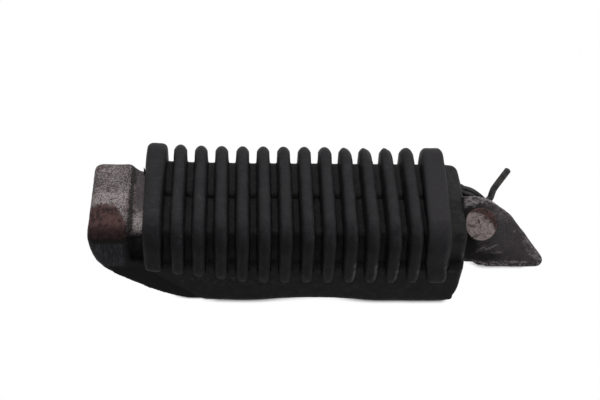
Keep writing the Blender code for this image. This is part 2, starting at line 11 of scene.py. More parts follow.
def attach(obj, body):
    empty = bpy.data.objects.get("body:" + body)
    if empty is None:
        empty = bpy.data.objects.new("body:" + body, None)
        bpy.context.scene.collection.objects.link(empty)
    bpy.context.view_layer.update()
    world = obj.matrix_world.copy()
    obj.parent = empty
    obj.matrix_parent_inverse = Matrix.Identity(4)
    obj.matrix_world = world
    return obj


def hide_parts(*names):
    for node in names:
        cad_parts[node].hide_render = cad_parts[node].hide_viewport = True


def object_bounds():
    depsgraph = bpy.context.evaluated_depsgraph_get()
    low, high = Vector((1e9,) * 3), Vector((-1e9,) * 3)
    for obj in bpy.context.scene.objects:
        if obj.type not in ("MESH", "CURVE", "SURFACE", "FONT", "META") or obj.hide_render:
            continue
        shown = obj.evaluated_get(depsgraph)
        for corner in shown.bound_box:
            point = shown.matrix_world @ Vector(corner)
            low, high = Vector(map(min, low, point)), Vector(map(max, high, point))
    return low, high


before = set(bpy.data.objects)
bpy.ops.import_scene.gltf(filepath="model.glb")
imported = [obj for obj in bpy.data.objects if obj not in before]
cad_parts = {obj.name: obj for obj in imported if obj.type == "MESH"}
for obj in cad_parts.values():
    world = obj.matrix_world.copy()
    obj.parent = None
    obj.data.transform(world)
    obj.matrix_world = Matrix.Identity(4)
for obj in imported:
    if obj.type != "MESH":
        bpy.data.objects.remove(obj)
cad_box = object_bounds()

MM = 0.001
GAP = 0.3

# Rubber tread, in millimetres, as in the CAD part
TREAD_LENGTH = 115.4
FIN_COUNT = 12
FIN_ROOT = 5.1
FIN_TIP = 4.2
OUTER_FIN_LENGTH = 6.6
FLANGE_LENGTH = 8.6
COLLAR_LENGTH = 5.2
FIN_EDGE_RADIUS = 1.8
COLLAR_EDGE_RADIUS = 1.9
END_BOW = 1.8
FLOOR_HALF_WIDTH = 20.0
FLOOR_TOP = 31.7
FLOOR_CORNER = 3.0
FIN_HEIGHT = 6.3
SKIRT_HALF_WIDTH = 23.8
SKIRT_CORNER = 3.0
LEDGE_HEIGHT = 19.0
LEDGE_FALL = 0.6
FIN_END_HEIGHT = 12.5
FIN_END_RISE = 0.175
RISE_LENGTH = 37.0
CROWN_LIFT = 1.7
CROWN_LENGTH = 30.0
NOTCH_HALF_WIDTH = 0.6
NOTCH_DEPTH = 0.9
NOTCH_PROFILE = ((3, 0), (2, 0.1), (1, 0.6), (0, 1))
ARCH_HEIGHT = 1.6
ARCH_FOOT_OUTER = 32.0
ARCH_FOOT_INNER = 30.0
UNDERCUT_ANGLE = math.radians(38.4)
HEEL_SLANT = 2.8
HEEL_HEIGHT = 15.0
HEEL_CORNER = 4.5
CUT_MARGIN = 10.0
ROOT_FILLET = 0.6
END_CELLS = 12

# Forged body and pivot
CORE_HALF_WIDTH = 16.5
CORE_BOTTOM = 6.0
CORE_TOP = 27.0
CORE_CORNER = 2.0
NECK_LENGTH = 4.8
KNOB_LENGTH = 15.3
PIVOT_TILT = math.radians(45)
PIVOT_HEIGHT = 18.2
PIVOT_OFFSET = 6.4
EAR_FACE = 11.0
BOSS_RADIUS = 6.7
BOSS_HEIGHT = 0.3
SLOT_WIDTH = 11.6
PIN_RADIUS = 4.0
BORE_CLEARANCE = 0.35
HEAD_RADIUS = 6.0
HEAD_THICKNESS = 2.4
PIN_CHAMFER = 0.7
PIN_TAIL = 3.0
WASHER_RADIUS = 6.5
WASHER_THICKNESS = 1.4
SPLIT_WIRE_RADIUS = 0.45
SPLIT_LEG_SPREAD = 0.55
SPLIT_EYE_RADIUS = 1.1
SPLIT_LEG_BEND = 0.7
SPLIT_LEG_WRAP = math.radians(62)
WIRE_RADIUS = 1.15
COIL_RADIUS = 5.6
COIL_PITCH = 2.6
COIL_TURNS = 1.625
COIL_START = math.radians(-10)
ARCH_LEG_INSERT = 6.0
WIRE_SWELL = 0.1
WIRE_END = ((0.0, 0.5), (0.2, 0.84), (0.5, 1.0))
SECOND_TURN_OFFSET = (-1.7, 0.7)

# The spring's path from the pivot, in (u, v), beyond the ends of its coil
ARCH_LEG_BEND = ((-5.5, -0.4), (-4.2, -1.1), (-1.4, -1.9))
RUN_IN = ((84, 1.95), (70, 1.71), (52, 1.46), (32, 1.24), (11, 1.07))
FREE_LEG = ((0.2, 6.9), (3.3, 8.3), (5.1, 9.7), (6.0, 12.0), (7.1, 14.0), (12.1, 20.6))
FREE_LEG_END = (11.5, 19.8)

# Wear and faults of the moulding, in millimetres, in this scene only
FIN_SWELL = 0.16
FIN_SWELL_FAR = 0.26
FIN_LEAN = 0.28
FAR_TOP_ROUNDING = 0.8
OUTER_FIN_LEAN = 0.5
OUTER_FIN_LEAN_FAR = 0.6
OUTER_FIN_WIDENING = 0.9
WORN_FINS = {8: 0.6, 9: 1.0, 10: 1.0}
WORN_FIN_DROP = 1.6
FLANGE_SKEW = 1.2
COLLAR_STAND = 0.75
COLLAR_STAND_BY_HEAD = 0.3
COLLAR_FAR_DROP = 0.8
PIN_HEAD_PLACE = (-9.05, 27.25)
HEEL_RISE = 1.0
HEEL_DRAW = 0.6
UNDERCUT_WEAR = 0.8
UNDERSIDE_BUMP = 0.8
UNDERSIDE_BUMP_PLACE = 71
UNDERSIDE_BUMP_WIDTH = 9
FLASH_HEIGHT = 3.5
FLASH_HALF_WIDTH = 1.9
FLASH_PLACE = (-1.2, 13.7, 29.2)
FLASH_SECTION = (
    *((-1, -1, 0), (-1.4, 0, 0.08), (-1, 1, -0.05)),
    *((1, 1, -0.05), (1.2, 0, 0.04), (1, -1, 0)),
)
EAR_SHOULDER_WEAR = 0.8
EAR_SHOULDER_PLACE = (8.2, 7.0)
EAR_SHOULDER_SPREAD = 22
EAR_SHOULDER_WAY = (0.62, 0.55, 0.55)

# Stage
CAMERA_PLACE = (-0.03089, -0.32774, 0.3485)
CAMERA_TURN = (45.868, -2.372, -1.899)
CAMERA_LENS = 75.0
FLOOR_SIZE = 4
FLOOR_DROP = 0.0001
FLOOR_SHADE_REACH = 3
FLOOR_GREY = (0.36, 0.36, 0.365, 1)
WHITE = (1, 1, 1, 1)
WORLD_LIGHT = 0.3
AREA_LIGHTS = (
    ("top", (0.0, 0.30, 0.55), (0, 0, 0.02), (0.9, 0.6), 3.0),
    ("right", (0.42, -0.16, 0.20), (0.03, 0, 0.02), (0.08, 0.08), 0.5),
)

KNOB_X = cad_box[0][0] / MM
NECK_X = KNOB_X + KNOB_LENGTH
TREAD_X = NECK_X + NECK_LENGTH
TREAD_END_X = TREAD_X + TREAD_LENGTH
PIVOT_X = TREAD_END_X + PIVOT_OFFSET
FINNED_LENGTH = TREAD_LENGTH - OUTER_FIN_LENGTH - FLANGE_LENGTH - COLLAR_LENGTH
GROOVE_ROOT = (FINNED_LENGTH - FIN_COUNT * FIN_ROOT) / (FIN_COUNT + 1)
SEAT_FACE = EAR_FACE + BOSS_HEIGHT
BORE_RADIUS = PIN_RADIUS + BORE_CLEARANCE
WASHER_OUTER = -(SEAT_FACE + GAP + WASHER_THICKNESS)
SPLIT_PLACE = WASHER_OUTER - GAP - SPLIT_WIRE_RADIUS
PIVOT_FRAME = Matrix.Translation((PIVOT_X, 0, PIVOT_HEIGHT)) @ Matrix.Rotation(PIVOT_TILT, 4, "X")
FIN_PITCH = FIN_ROOT + GROOVE_ROOT
FIRST_FIN_X = TREAD_X + OUTER_FIN_LENGTH + GROOVE_ROOT


# Mesh helpers


def arc(centre, radius, start, end, steps):
    angles = [start + (end - start) * i / steps for i in range(steps + 1)]
    return [(centre[0] + radius * math.cos(a), centre[1] + radius * math.sin(a)) for a in angles]


def in_pivot_frame(points):
    """u along the peg, v across it and s along the pin, from the pivot, in its tilted frame."""
    u, y, z = (points - np.array([PIVOT_X, 0, PIVOT_HEIGHT])).T
    return u, (y + z) / math.sqrt(2), (z - y) / math.sqrt(2)


def share_of(value, low, high):
    """0 at low, 1 at high, straight between."""
    return np.clip((value - low) / (high - low), 0, 1)


def spread(a, b, steps):
    """Points from a to b, b left out."""
    return [
        tuple(a[k] + (b[k] - a[k]) * i / steps for k in range(len(a)))
        for i in range(steps)
    ]


def skin(rings, closed=False, end_cap=None):
    """A mesh through rings of equally many points, its ends capped or joined."""
    bm = bmesh.new()
    rows = [[bm.verts.new(point) for point in ring] for ring in rings]
    pairs = list(zip(rows, rows[1:])) + ([(rows[-1], rows[0])] if closed else [])
    for low, high in pairs:
        for i, vert in enumerate(low):
            j = (i + 1) % len(low)
            bm.faces.new((vert, low[j], high[j], high[i]))
    if not closed:
        bm.faces.new(rows[0][::-1])
        if end_cap:
            end_cap(bm, rows[-1])
        else:
            bm.faces.new(rows[-1])
    return bm


def link_object(name, data):
    obj = bpy.data.objects.new(name, data)
    bpy.context.scene.collection.objects.link(obj)
    return obj


def mesh_of(name, bm):
    mesh = bpy.data.meshes.new(name)
    bm.to_mesh(mesh)
    bm.free()
    return mesh


def add_object(name, bm, place=None):
    """An object from a bmesh in millimetres, its faces turned out, its mesh in metres."""
    if place:
        bm.transform(place)
    bmesh.ops.recalc_face_normals(bm, faces=bm.faces)
    if bm.calc_volume(signed=True) < 0:
        bmesh.ops.reverse_faces(bm, faces=bm.faces)
    bmesh.ops.scale(bm, vec=(MM, MM, MM), verts=bm.verts)
    return link_object(name, mesh_of(name, bm))


def apply_modifiers(obj):
    """The object's mesh with its modifiers worked in."""
    bpy.context.view_layer.update()
    depsgraph = bpy.context.evaluated_depsgraph_get()
    mesh = bpy.data.meshes.new_from_object(obj.evaluated_get(depsgraph))
    obj.modifiers.clear()
    obj.data = mesh


def cut(obj, cutters):
    for cutter in cutters:
        modifier = obj.modifiers.new(cutter.name, "BOOLEAN")
        modifier.operation = "DIFFERENCE"
        modifier.solver = "EXACT"
        modifier.object = cutter
    apply_modifiers(obj)
    for cutter in cutters:
        bpy.data.objects.remove(cutter)


def read_vertices(mesh, field):
    flat = np.zeros(len(mesh.vertices) * 3)
    mesh.vertices.foreach_get(field, flat)
    return flat.reshape(-1, 3)


def points_of(mesh):
    """The mesh's points in millimetres."""
    return read_vertices(mesh, "co") / MM


def normals_of(mesh):
    return read_vertices(mesh, "normal")


def put_points(mesh, points):
    """Moves the mesh to points in millimetres, none of them outside the CAD model's box."""
    low, high = (np.array(corner) for corner in cad_box)
    mesh.vertices.foreach_set("co", np.clip(points * MM, low, high).ravel())
    mesh.update()


def noise_at(points, scale, octaves=2, seed=0.0):
    """Smooth noise about -1 to 1 at points in millimetres; scale is the size of a lump."""
    shift = Vector((seed, seed * 0.7, -seed))
    return np.array(
        [noise.fractal(Vector(p) / scale + shift, 1.0, 2.0, octaves) for p in points]
    )


def add_attribute(mesh, name, values):
    attribute = mesh.attributes.new(name, "FLOAT", "POINT")
    attribute.data.foreach_set("value", np.asarray(values, np.float32))


def convexity(mesh, rounds=2):
    """How far each point stands out of its neighbours, per millimetre of edge, smoothed."""
    points = points_of(mesh)
    normals = normals_of(mesh)
    edges = np.zeros(len(mesh.edges) * 2, int)
    mesh.edges.foreach_get("vertices", edges)
    a, b = edges.reshape(-1, 2).T
    step = points[b] - points[a]
    length = np.maximum(np.linalg.norm(step, axis=1), 1e-3)
    total = np.zeros(len(points))
    count = np.zeros(len(points))
    for here, way in ((a, step), (b, -step)):
        np.add.at(total, here, -np.einsum("ij,ij->i", way, normals[here]) / length**2)
        np.add.at(count, here, 1)
    value = total / np.maximum(count, 1)
    for _ in range(rounds):
        blurred = value.copy()
        number = np.ones(len(points))
        for here, there in ((a, b), (b, a)):
            np.add.at(blurred, here, value[there])
            np.add.at(number, here, 1)
        value = blurred / number
    return value


def finish_mesh(obj, sharp, edge):
    """Stores edge, how far each point stands out, for the look's wear and painted highlights, and
    shades the mesh smooth.
    """
    add_attribute(obj.data, "edge", edge)
    obj.data.shade_smooth()
    obj.data.set_sharp_from_angle(angle=math.radians(sharp))


# Rubber tread


def arch_height(x):
    start = TREAD_X + ARCH_FOOT_OUTER
    end = TREAD_END_X - ARCH_FOOT_INNER
    return ARCH_HEIGHT * math.sin(math.pi * share_of(x, start, end)) ** 2


def crown(x):
    return CROWN_LIFT * np.clip(1 - (x - TREAD_X) / CROWN_LENGTH, 0, 1) ** 2


def tread_half_section(x, grow):
    """Half the outline in (y, z), from the bottom up; grow is 0 in a groove, 1 on a fin."""
    bottom = arch_height(x)
    half_width = FLOOR_HALF_WIDTH + FIN_HEIGHT * grow
    top = FLOOR_TOP + FIN_HEIGHT * grow + crown(x)
    radius = FLOOR_CORNER + FIN_HEIGHT * grow
    rise = FIN_END_RISE * max(RISE_LENGTH - (x - TREAD_X), 0)
    ledge_edge = LEDGE_HEIGHT - LEDGE_FALL
    fin_end = FIN_END_HEIGHT + rise
    foot = (SKIRT_HALF_WIDTH - SKIRT_CORNER, bottom)
    skirt_top = (SKIRT_HALF_WIDTH, ledge_edge + (fin_end - ledge_edge) * grow**2)
    shoulder = (half_width, LEDGE_HEIGHT + rise * grow / 2)
    points = spread((0, bottom), foot, END_CELLS)
    points += arc((foot[0], bottom + SKIRT_CORNER), SKIRT_CORNER, -math.pi / 2, 0, 6)
    points += spread((SKIRT_HALF_WIDTH, bottom + SKIRT_CORNER), skirt_top, 10)[1:]
    # the fin's lower end is rounded over
    reach = shoulder[0] - skirt_top[0]
    drop = shoulder[1] - skirt_top[1]
    for i in range(8):
        share = i / 8
        turn = share * math.pi / 2
        out = share + grow * (math.sin(turn) ** 0.7 - share)
        up = share + grow * (1 - math.cos(turn) - share)
        points.append((skirt_top[0] + reach * out, skirt_top[1] + drop * up))
    points += spread(shoulder, (half_width, top - radius), 8)
    points += arc((half_width - radius, top - radius), radius, 0, math.pi / 2, 12)
    points += spread((half_width - radius, top), (NOTCH_HALF_WIDTH * 3, top), END_CELLS - 2)[1:]
    for steps, depth in NOTCH_PROFILE[1:]:
        points.append((NOTCH_HALF_WIDTH * steps, top - NOTCH_DEPTH * depth * (1 - grow)))
    return points


def bow_share(y):
    """How far the bowed inner end has drawn back, from 0 in its flat middle."""
    return max(abs(y) / FLOOR_HALF_WIDTH - 0.4, 0) ** 2


def tread_ring(x, grow, bow):
    half = tread_half_section(x, grow)
    outline = half + [(-y, z) for y, z in half[-2:0:-1]]
    return [(x - bow * bow_share(y), y, z) for y, z in outline]


def fin_stations(start, root, tip):
    """(x, grow) over one fin: root fillet, flank, rounded edge, top and back down."""
    inset = (root - tip) / 2
    rise = FIN_EDGE_RADIUS / FIN_HEIGHT
    fillet = ROOT_FILLET / FIN_HEIGHT
    near = [(start - 0.45, 0), (start - 0.16, fillet * 0.25), (start, fillet)]
    for share in (0.35, 0.7):
        near.append((start + inset * share, fillet + (1 - rise - fillet) * share))
    for angle in range(0, 91, 18):
        turn = math.radians(angle)
        across = inset + FIN_EDGE_RADIUS * (1 - math.cos(turn))
        near.append((start + across, 1 - rise * (1 - math.sin(turn))))
    middle = start + root / 2
    return near + [(middle, 1)] + [(2 * middle - x, grow) for x, grow in reversed(near)]


def tread_stations():
    """(x, grow, bow) along the whole tread."""
    draft = FIN_ROOT - FIN_TIP
    first = fin_stations(TREAD_X, OUTER_FIN_LENGTH, OUTER_FIN_LENGTH - draft)
    stations = [(TREAD_X + 0.01, 0, 0)]
    stations += [(x, grow, 0) for x, grow in first[3:]]
    x = TREAD_X + OUTER_FIN_LENGTH + GROOVE_ROOT
    for _ in range(FIN_COUNT):
        stations.append((x - GROOVE_ROOT / 2, 0, 0))
        stations += [(place, grow, 0) for place, grow in fin_stations(x, FIN_ROOT, FIN_TIP)]
        x += FIN_ROOT + GROOVE_ROOT
    stations.append((x - GROOVE_ROOT / 2, 0, 0))
    flange = fin_stations(x, FLANGE_LENGTH, FLANGE_LENGTH - draft)
    half = len(flange) // 2
    for i, (place, grow) in enumerate(flange):
        share = min(max((i - half + 3) / 6, 0), 1)
        stations.append((place, grow, END_BOW / 2 * share))
    return stations


def close_collar(bm, ring):
    """The tread's inner end as a grid, bowed like its edge."""
    half = len(ring) // 2
    lines = [ring[END_CELLS::-1] + ring[: -END_CELLS - 1 : -1]]
    for i in range(END_CELLS + 1, half - END_CELLS):
        start, end = ring[i], ring[-i]
        line = [start]
        for k in range(1, 2 * END_CELLS):
            y = start.co.y * (1 - k / END_CELLS)
            line.append(bm.verts.new((TREAD_END_X - END_BOW * bow_share(y), y, start.co.z)))
        lines.append(line + [end])
    lines.append(ring[half - END_CELLS : half + END_CELLS + 1])
    for low, high in zip(lines, lines[1:]):
        for k in range(2 * END_CELLS):
            bm.faces.new((low[k], low[k + 1], high[k + 1], high[k]))


def collar_rings():
    rings = []
    for angle in range(0, 91, 15):
        turn = math.radians(angle)
        x = TREAD_END_X - COLLAR_EDGE_RADIUS * (1 - math.sin(turn))
        shrink = COLLAR_EDGE_RADIUS * (1 - math.cos(turn))
        ring = []
        for px, y, z in tread_ring(x, 0, END_BOW):
            down = min(max((z - LEDGE_HEIGHT) / 6, 0), 1)
            inward = min(max(y / 8, -1), 1)
            ring.append((px, y - shrink * inward, z - shrink * down))
        rings.append(ring)
    return rings


def cross_prism(name, outline, half):
    """A cutter drawn in (x, z), reaching half to each side."""
    return add_object(name, skin([[(x, y, z) for x, z in outline] for y in (-half, half)]))


def length_prism(name, outline, start, end):
    """A cutter drawn in (y, z), from start to end along x."""
    return add_object(name, skin([[(x, y, z) for y, z in outline] for x in (start, end)]))


def box_outline(half_width, bottom, top, radius):
    side, low, high = half_width - radius, bottom + radius, top - radius
    points = []
    for i, centre in enumerate(((side, low), (side, high), (-side, high), (-side, low))):
        points += arc(centre, radius, (i - 1) * math.pi / 2, i * math.pi / 2, 5)
    return points


def hooked_leg_place():
    s = SLOT_WIDTH / 2 - GAP - WIRE_RADIUS - COIL_TURNS * COIL_PITCH
    height = CORE_TOP + GAP + WIRE_RADIUS - PIVOT_HEIGHT
    v = (height - s * math.sin(PIVOT_TILT)) / math.cos(PIVOT_TILT)
    return v, s


def tread_cutters():
    half = SKIRT_HALF_WIDTH + FIN_HEIGHT + CUT_MARGIN
    low = -CUT_MARGIN
    near = TREAD_X - CUT_MARGIN
    slope = math.tan(UNDERCUT_ANGLE)
    undercut = [
        (near, low),
        (TREAD_X + (LEDGE_HEIGHT - low) / slope, low),
        (near, LEDGE_HEIGHT + slope * CUT_MARGIN),
    ]
    slant_x = TREAD_END_X - HEEL_SLANT
    lean = HEEL_SLANT / (HEEL_HEIGHT - HEEL_CORNER)
    above = HEEL_HEIGHT + HEEL_CORNER
    heel = [(TREAD_END_X + lean * HEEL_CORNER, above)]
    heel_centre = (slant_x - HEEL_CORNER, HEEL_CORNER * 0.8)
    heel += arc(heel_centre, HEEL_CORNER, math.radians(12), math.radians(-70), 8)
    heel += [
        (slant_x - HEEL_CORNER * 0.5, low),
        (TREAD_END_X + CUT_MARGIN, low),
        (TREAD_END_X + CUT_MARGIN, above),
    ]
    v, s = hooked_leg_place()
    y = v * math.sin(PIVOT_TILT) - s * math.cos(PIVOT_TILT)
    wide = WIRE_RADIUS + GAP
    top = CORE_TOP + 2 * GAP + 2 * WIRE_RADIUS
    pocket = [(y - wide, CORE_TOP), (y + wide, CORE_TOP), (y + wide, top - wide / 2)]
    pocket += [(y + wide / 2, top), (y - wide / 2, top), (y - wide, top - wide / 2)]
    core = (CORE_HALF_WIDTH + GAP, CORE_BOTTOM - GAP, CORE_TOP + GAP, CORE_CORNER + GAP)
    return [
        cross_prism("undercut", undercut, half),
        cross_prism("heel", heel, half),
        length_prism("core_hole", box_outline(*core), near, TREAD_END_X + CUT_MARGIN),
        length_prism("pocket", pocket, TREAD_END_X - ARCH_LEG_INSERT - GAP, PIVOT_X),
    ]


def fin_height_at(points):
    """0 at the groove floor and below it, 1 at the fins' tops, from places in millimetres."""
    x, y, z = points.T
    side = np.maximum(np.abs(y) - (FLOOR_HALF_WIDTH - FLOOR_CORNER), 0)
    up = np.maximum(z - (FLOOR_TOP + crown(x) - FLOOR_CORNER), 0)
    return np.clip((np.hypot(side, up) - FLOOR_CORNER) / FIN_HEIGHT, 0, 1)


def wear_of_tread(points, fin, height):
    """How far the moulding is out of true; fin -1 is the outer fin and FIN_COUNT the flange."""
    x, y, z = points.T
    shift = np.zeros_like(points)
    across = x - (FIRST_FIN_X + fin * FIN_PITCH + FIN_ROOT / 2)
    inner = (fin >= 0) & (fin < FIN_COUNT)
    far_top = share_of(y, 12, 20) * share_of(z, 30, 34)
    swell = (FIN_SWELL + FIN_SWELL_FAR * far_top) * share_of(height, 1.02, 0.8)
    shift[:, 0] += inner * swell * np.clip(across, -1, 1) * height
    # the fins' far tops are rounded off
    top_drop = FAR_TOP_ROUNDING * inner * np.clip(np.abs(across) / 2.2, 0, 1) ** 2
    top_drop *= share_of(y, 13, 18) * share_of(z, 31, 34)
    # the outer fin leans outwards, most at its far end
    far = share_of(y, -5, 15)
    outer = fin < 0
    lean = (OUTER_FIN_LEAN + OUTER_FIN_LEAN_FAR * far) * share_of(x, TREAD_X + 3, TREAD_X)
    shift[:, 0] -= outer * lean * share_of(z, LEDGE_HEIGHT, LEDGE_HEIGHT + 4)
    shift[:, 0] += outer * OUTER_FIN_WIDENING * far * share_of(x, TREAD_X + 3, TREAD_X + 6) * height
    # three fins are worn to a slant at the far edge
    worn = sum(depth * (fin == number) for number, depth in WORN_FINS.items())
    slant = share_of(across, -0.8, 1.6) * share_of(y, 13, 18) * share_of(z, 33, 36)
    drop = top_drop + WORN_FIN_DROP * worn * slant
    shift[:, 1:] -= 0.7 * drop[:, None]
    # the flange is skewed, the collar stands out beside it
    start = FIRST_FIN_X + FIN_COUNT * FIN_PITCH
    end = start + FLANGE_LENGTH
    near = np.clip(-y / 24, -1, 1)
    along = share_of(x, start, end)
    left = -FLANGE_SKEW * (1 + near) * (0.3 + 0.7 * share_of(z, 17, 25))
    right = (-0.1 - 0.85 * near) * (0.3 + 0.7 * share_of(z, 15, 20))
    skew = (left * (1 - along) + right * along) * (0.25 + 0.75 * height)
    shift[:, 0] += ((x > start - 0.5) & (x < end + 0.5)) * skew
    out = share_of(x, TREAD_END_X - 4, TREAD_END_X - 1) * share_of(z, 12, 19)
    to_head = np.hypot(y - PIN_HEAD_PLACE[0], z - PIN_HEAD_PLACE[1])
    stand = COLLAR_STAND + 0.5 * np.clip(y / 20, -0.3, 1)
    shift[:, 0] += out * np.minimum(stand, COLLAR_STAND_BY_HEAD + share_of(to_head, 6.5, 9.5))
    shift[:, 2] -= out * COLLAR_FAR_DROP * share_of(y, 6, 18) * share_of(z, 27, 30)
    # the heel is scuffed round, the undercut's lower corner is worn off and the underside arches
    heel = share_of(x, TREAD_END_X - 9, TREAD_END_X - 3) ** 2 * share_of(z, 7, 0)
    shift[:, 2] += HEEL_RISE * heel
    shift[:, 0] -= HEEL_DRAW * heel
    shift[:, 2] += UNDERCUT_WEAR * share_of(x, TREAD_X + 36, TREAD_X + 23) * share_of(z, 4, 0)
    bump = np.exp(-(((x - TREAD_X - UNDERSIDE_BUMP_PLACE) / UNDERSIDE_BUMP_WIDTH) ** 2))
    shift[:, 2] += UNDERSIDE_BUMP * bump * share_of(z, 5, 0)
    # no notch across the collar's top
    steps, depths = zip(*reversed(NOTCH_PROFILE))
    in_notch = NOTCH_DEPTH * np.interp(np.abs(y) / NOTCH_HALF_WIDTH, steps, depths)
    shift[:, 2] += (x > end - 0.2) * (z > FLOOR_TOP - 2 * NOTCH_DEPTH) * in_notch
    return shift


def make_tread():
    rings = [tread_ring(x, grow, bow) for x, grow, bow in tread_stations()] + collar_rings()
    tread = add_object("tread", skin(rings, end_cap=close_collar))
    cut(tread, tread_cutters())
    mesh = tread.data
    points = points_of(mesh)
    normals = normals_of(mesh)
    height = fin_height_at(points)
    x, y, z = points.T
    # each fin leans and swells a little on its own
    fin = np.floor((x - TREAD_X - OUTER_FIN_LENGTH - GROOVE_ROOT / 2) / FIN_PITCH)
    lean = np.array([noise.noise(Vector((f * 1.7, yy / 16, 3.1))) for f, yy in zip(fin, y)])
    moved = points.copy()
    moved[:, 0] += FIN_LEAN * lean * height
    moved += wear_of_tread(points, fin, height)
    # the surface is lumpy, but not the floor's contact or the hole's walls
    lumps = noise_at(points, 9, 2, 4.0) * 0.10 + noise_at(points, 2.6, 2, 9.0) * 0.045
    in_hole = (np.abs(y) < CORE_HALF_WIDTH + 0.6) & (z < CORE_TOP + 0.6) & (z > CORE_BOTTOM - 0.6)
    hold = share_of(z, 0.4, 1.6) * (1 - in_hole)
    moved += normals * (lumps * hold)[:, None]
    put_points(mesh, moved)
    add_attribute(mesh, "height", height)
    finish_mesh(tread, 50, convexity(mesh))
    return tread


def make_flap():
    """A torn shred of moulding flash standing at the tread's outer end."""
    rows = []
    for i in range(7):
        share = i / 6
        lean = 0.25 + 0.5 * share**1.5
        wide = FLASH_HALF_WIDTH * (1 - share) ** 0.75 + 0.06
        thick = 0.20 * (1 - share) + 0.04
        x = TREAD_X + FLASH_PLACE[0] - lean * 0.7
        y = FLASH_PLACE[1] + 0.5 * share
        z = FLASH_PLACE[2] + FLASH_HEIGHT * share
        rows.append([(x + thick * a, y + wide * b, z + c) for a, b, c in FLASH_SECTION])
    flap = add_object("tread_flash", skin(rows))
    count = len(flap.data.vertices)
    add_attribute(flap.data, "height", np.full(count, 0.6))
    finish_mesh(flap, 60, np.full(count, 0.2))
    return flap


# Forged body


def make_body():
    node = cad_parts["footpeg_body"]
    body = link_object("body", node.data.copy())
    body.data.materials.clear()
    remesh = body.modifiers.new("remesh", "REMESH")
    remesh.mode = "VOXEL"
    remesh.voxel_size = 0.56 * MM
    remesh.use_smooth_shade = True
    smooth = body.modifiers.new("smooth", "SMOOTH")
    smooth.factor = 0.5
    smooth.iterations = 3
    apply_modifiers(body)
    mesh = body.data
    points = points_of(mesh)
    normals = normals_of(mesh)
    x, _, z = points.T
    lumps = noise_at(points, 7, 2, 1.0) * 0.14 + noise_at(points, 2.0, 3, 6.0) * 0.07
    # round the bosses, in the slot, inside the tread and at the wedge the surface stays true
    u, v, s = in_pivot_frame(points)
    quiet = np.clip((np.hypot(u, v) - BOSS_RADIUS) / 2, 0.1, 1)
    quiet[(np.abs(s) < SLOT_WIDTH / 2 + 0.5) & (x > PIVOT_X - 12)] = 0.1
    quiet[(x > TREAD_X - 1) & (x < TREAD_END_X)] = 0
    quiet[(z < 18.5) & (x > TREAD_X - 12) & (x < TREAD_END_X)] *= 0.2
    moved = points + normals * (lumps * quiet)[:, None]
    # the ears' upper shoulders are worn down
    off_u, off_v = u - EAR_SHOULDER_PLACE[0], v - EAR_SHOULDER_PLACE[1]
    shoulder = EAR_SHOULDER_WEAR * np.exp(-(off_u**2 + off_v**2) / EAR_SHOULDER_SPREAD)
    moved -= shoulder[:, None] * np.array(EAR_SHOULDER_WAY)
    put_points(mesh, moved)
    add_attribute(mesh, "edge", convexity(mesh, 3))
    mesh.shade_smooth()
    return body


# Pin, washer, split pin and spring


def turned(profile, sides, closed=False):
    angles = [2 * math.pi * i / sides for i in range(sides)]
    rings = [[(r * math.cos(a), r * math.sin(a), h) for a in angles] for r, h in profile]
    return skin(rings, closed)


def make_pin():
    under_head = SEAT_FACE + GAP
    head_top = under_head + HEAD_THICKNESS
    tail = SPLIT_PLACE - PIN_TAIL
    shank, chamfer, head = PIN_RADIUS, PIN_CHAMFER, HEAD_RADIUS
    profile = [(0.4, tail), (shank - chamfer - 0.15, tail), (shank - chamfer + 0.1, tail + 0.12)]
    profile += [(shank - 0.1, tail + chamfer - 0.1), (shank, tail + chamfer + 0.15)]
    profile += spread((shank, tail + 1.4), (shank, under_head - 0.1), 24)
    profile += [(shank, under_head), (head - 0.25, under_head)]
    profile += [(head - 0.06, under_head + 0.1), (head, under_head + 0.3)]
    profile += spread((head, under_head + 0.5), (head, head_top - 0.75), 3)
    profile += arc((head - 0.55, head_top - 0.62), 0.55, 0, math.radians(80), 6)
    profile += [(4.6, head_top - 0.03)] + [(r, head_top) for r in (3.8, 2.8, 1.8, 0.8)]
    pin = add_object("pin", turned(profile, 72), PIVOT_FRAME)
    hole_place = PIVOT_FRAME @ Matrix.Translation((0, 0, SPLIT_PLACE))
    hole_place = hole_place @ Matrix.Rotation(math.pi / 2, 4, "Y")
    radius = SPLIT_LEG_SPREAD + SPLIT_WIRE_RADIUS + GAP
    hole = add_object("split_hole", turned([(radius, -8), (radius, 8)], 24), hole_place)
    cut(pin, [hole])
    mesh = pin.data
    points = points_of(mesh)
    _, _, along_pin = in_pivot_frame(points)
    on_head = share_of(along_pin, SEAT_FACE + 0.6, SEAT_FACE + 1.8)
    dents = noise_at(points, 1.6, 3, 2.0) * 0.05 + noise_at(points, 5, 1, 5.0) * 0.06 - 0.08
    put_points(mesh, points + normals_of(mesh) * (dents * on_head)[:, None])
    finish_mesh(pin, 35, convexity(mesh, 1))
    return pin


def make_washer():
    top = -(SEAT_FACE + GAP)
    bore, rim, low = BORE_RADIUS, WASHER_RADIUS, WASHER_OUTER
    profile = [(bore, low + 0.15), (bore + 0.15, low), (rim - 0.3, low), (rim - 0.05, low + 0.1)]
    profile += [(rim, low + 0.35), (rim, top - 0.2), (rim - 0.1, top)]
    profile += [(bore + 0.1, top), (bore, top - 0.1)]
    washer = add_object("washer", turned(profile, 72, True), PIVOT_FRAME)
    finish_mesh(washer, 35, convexity(washer.data, 0))
    return washer


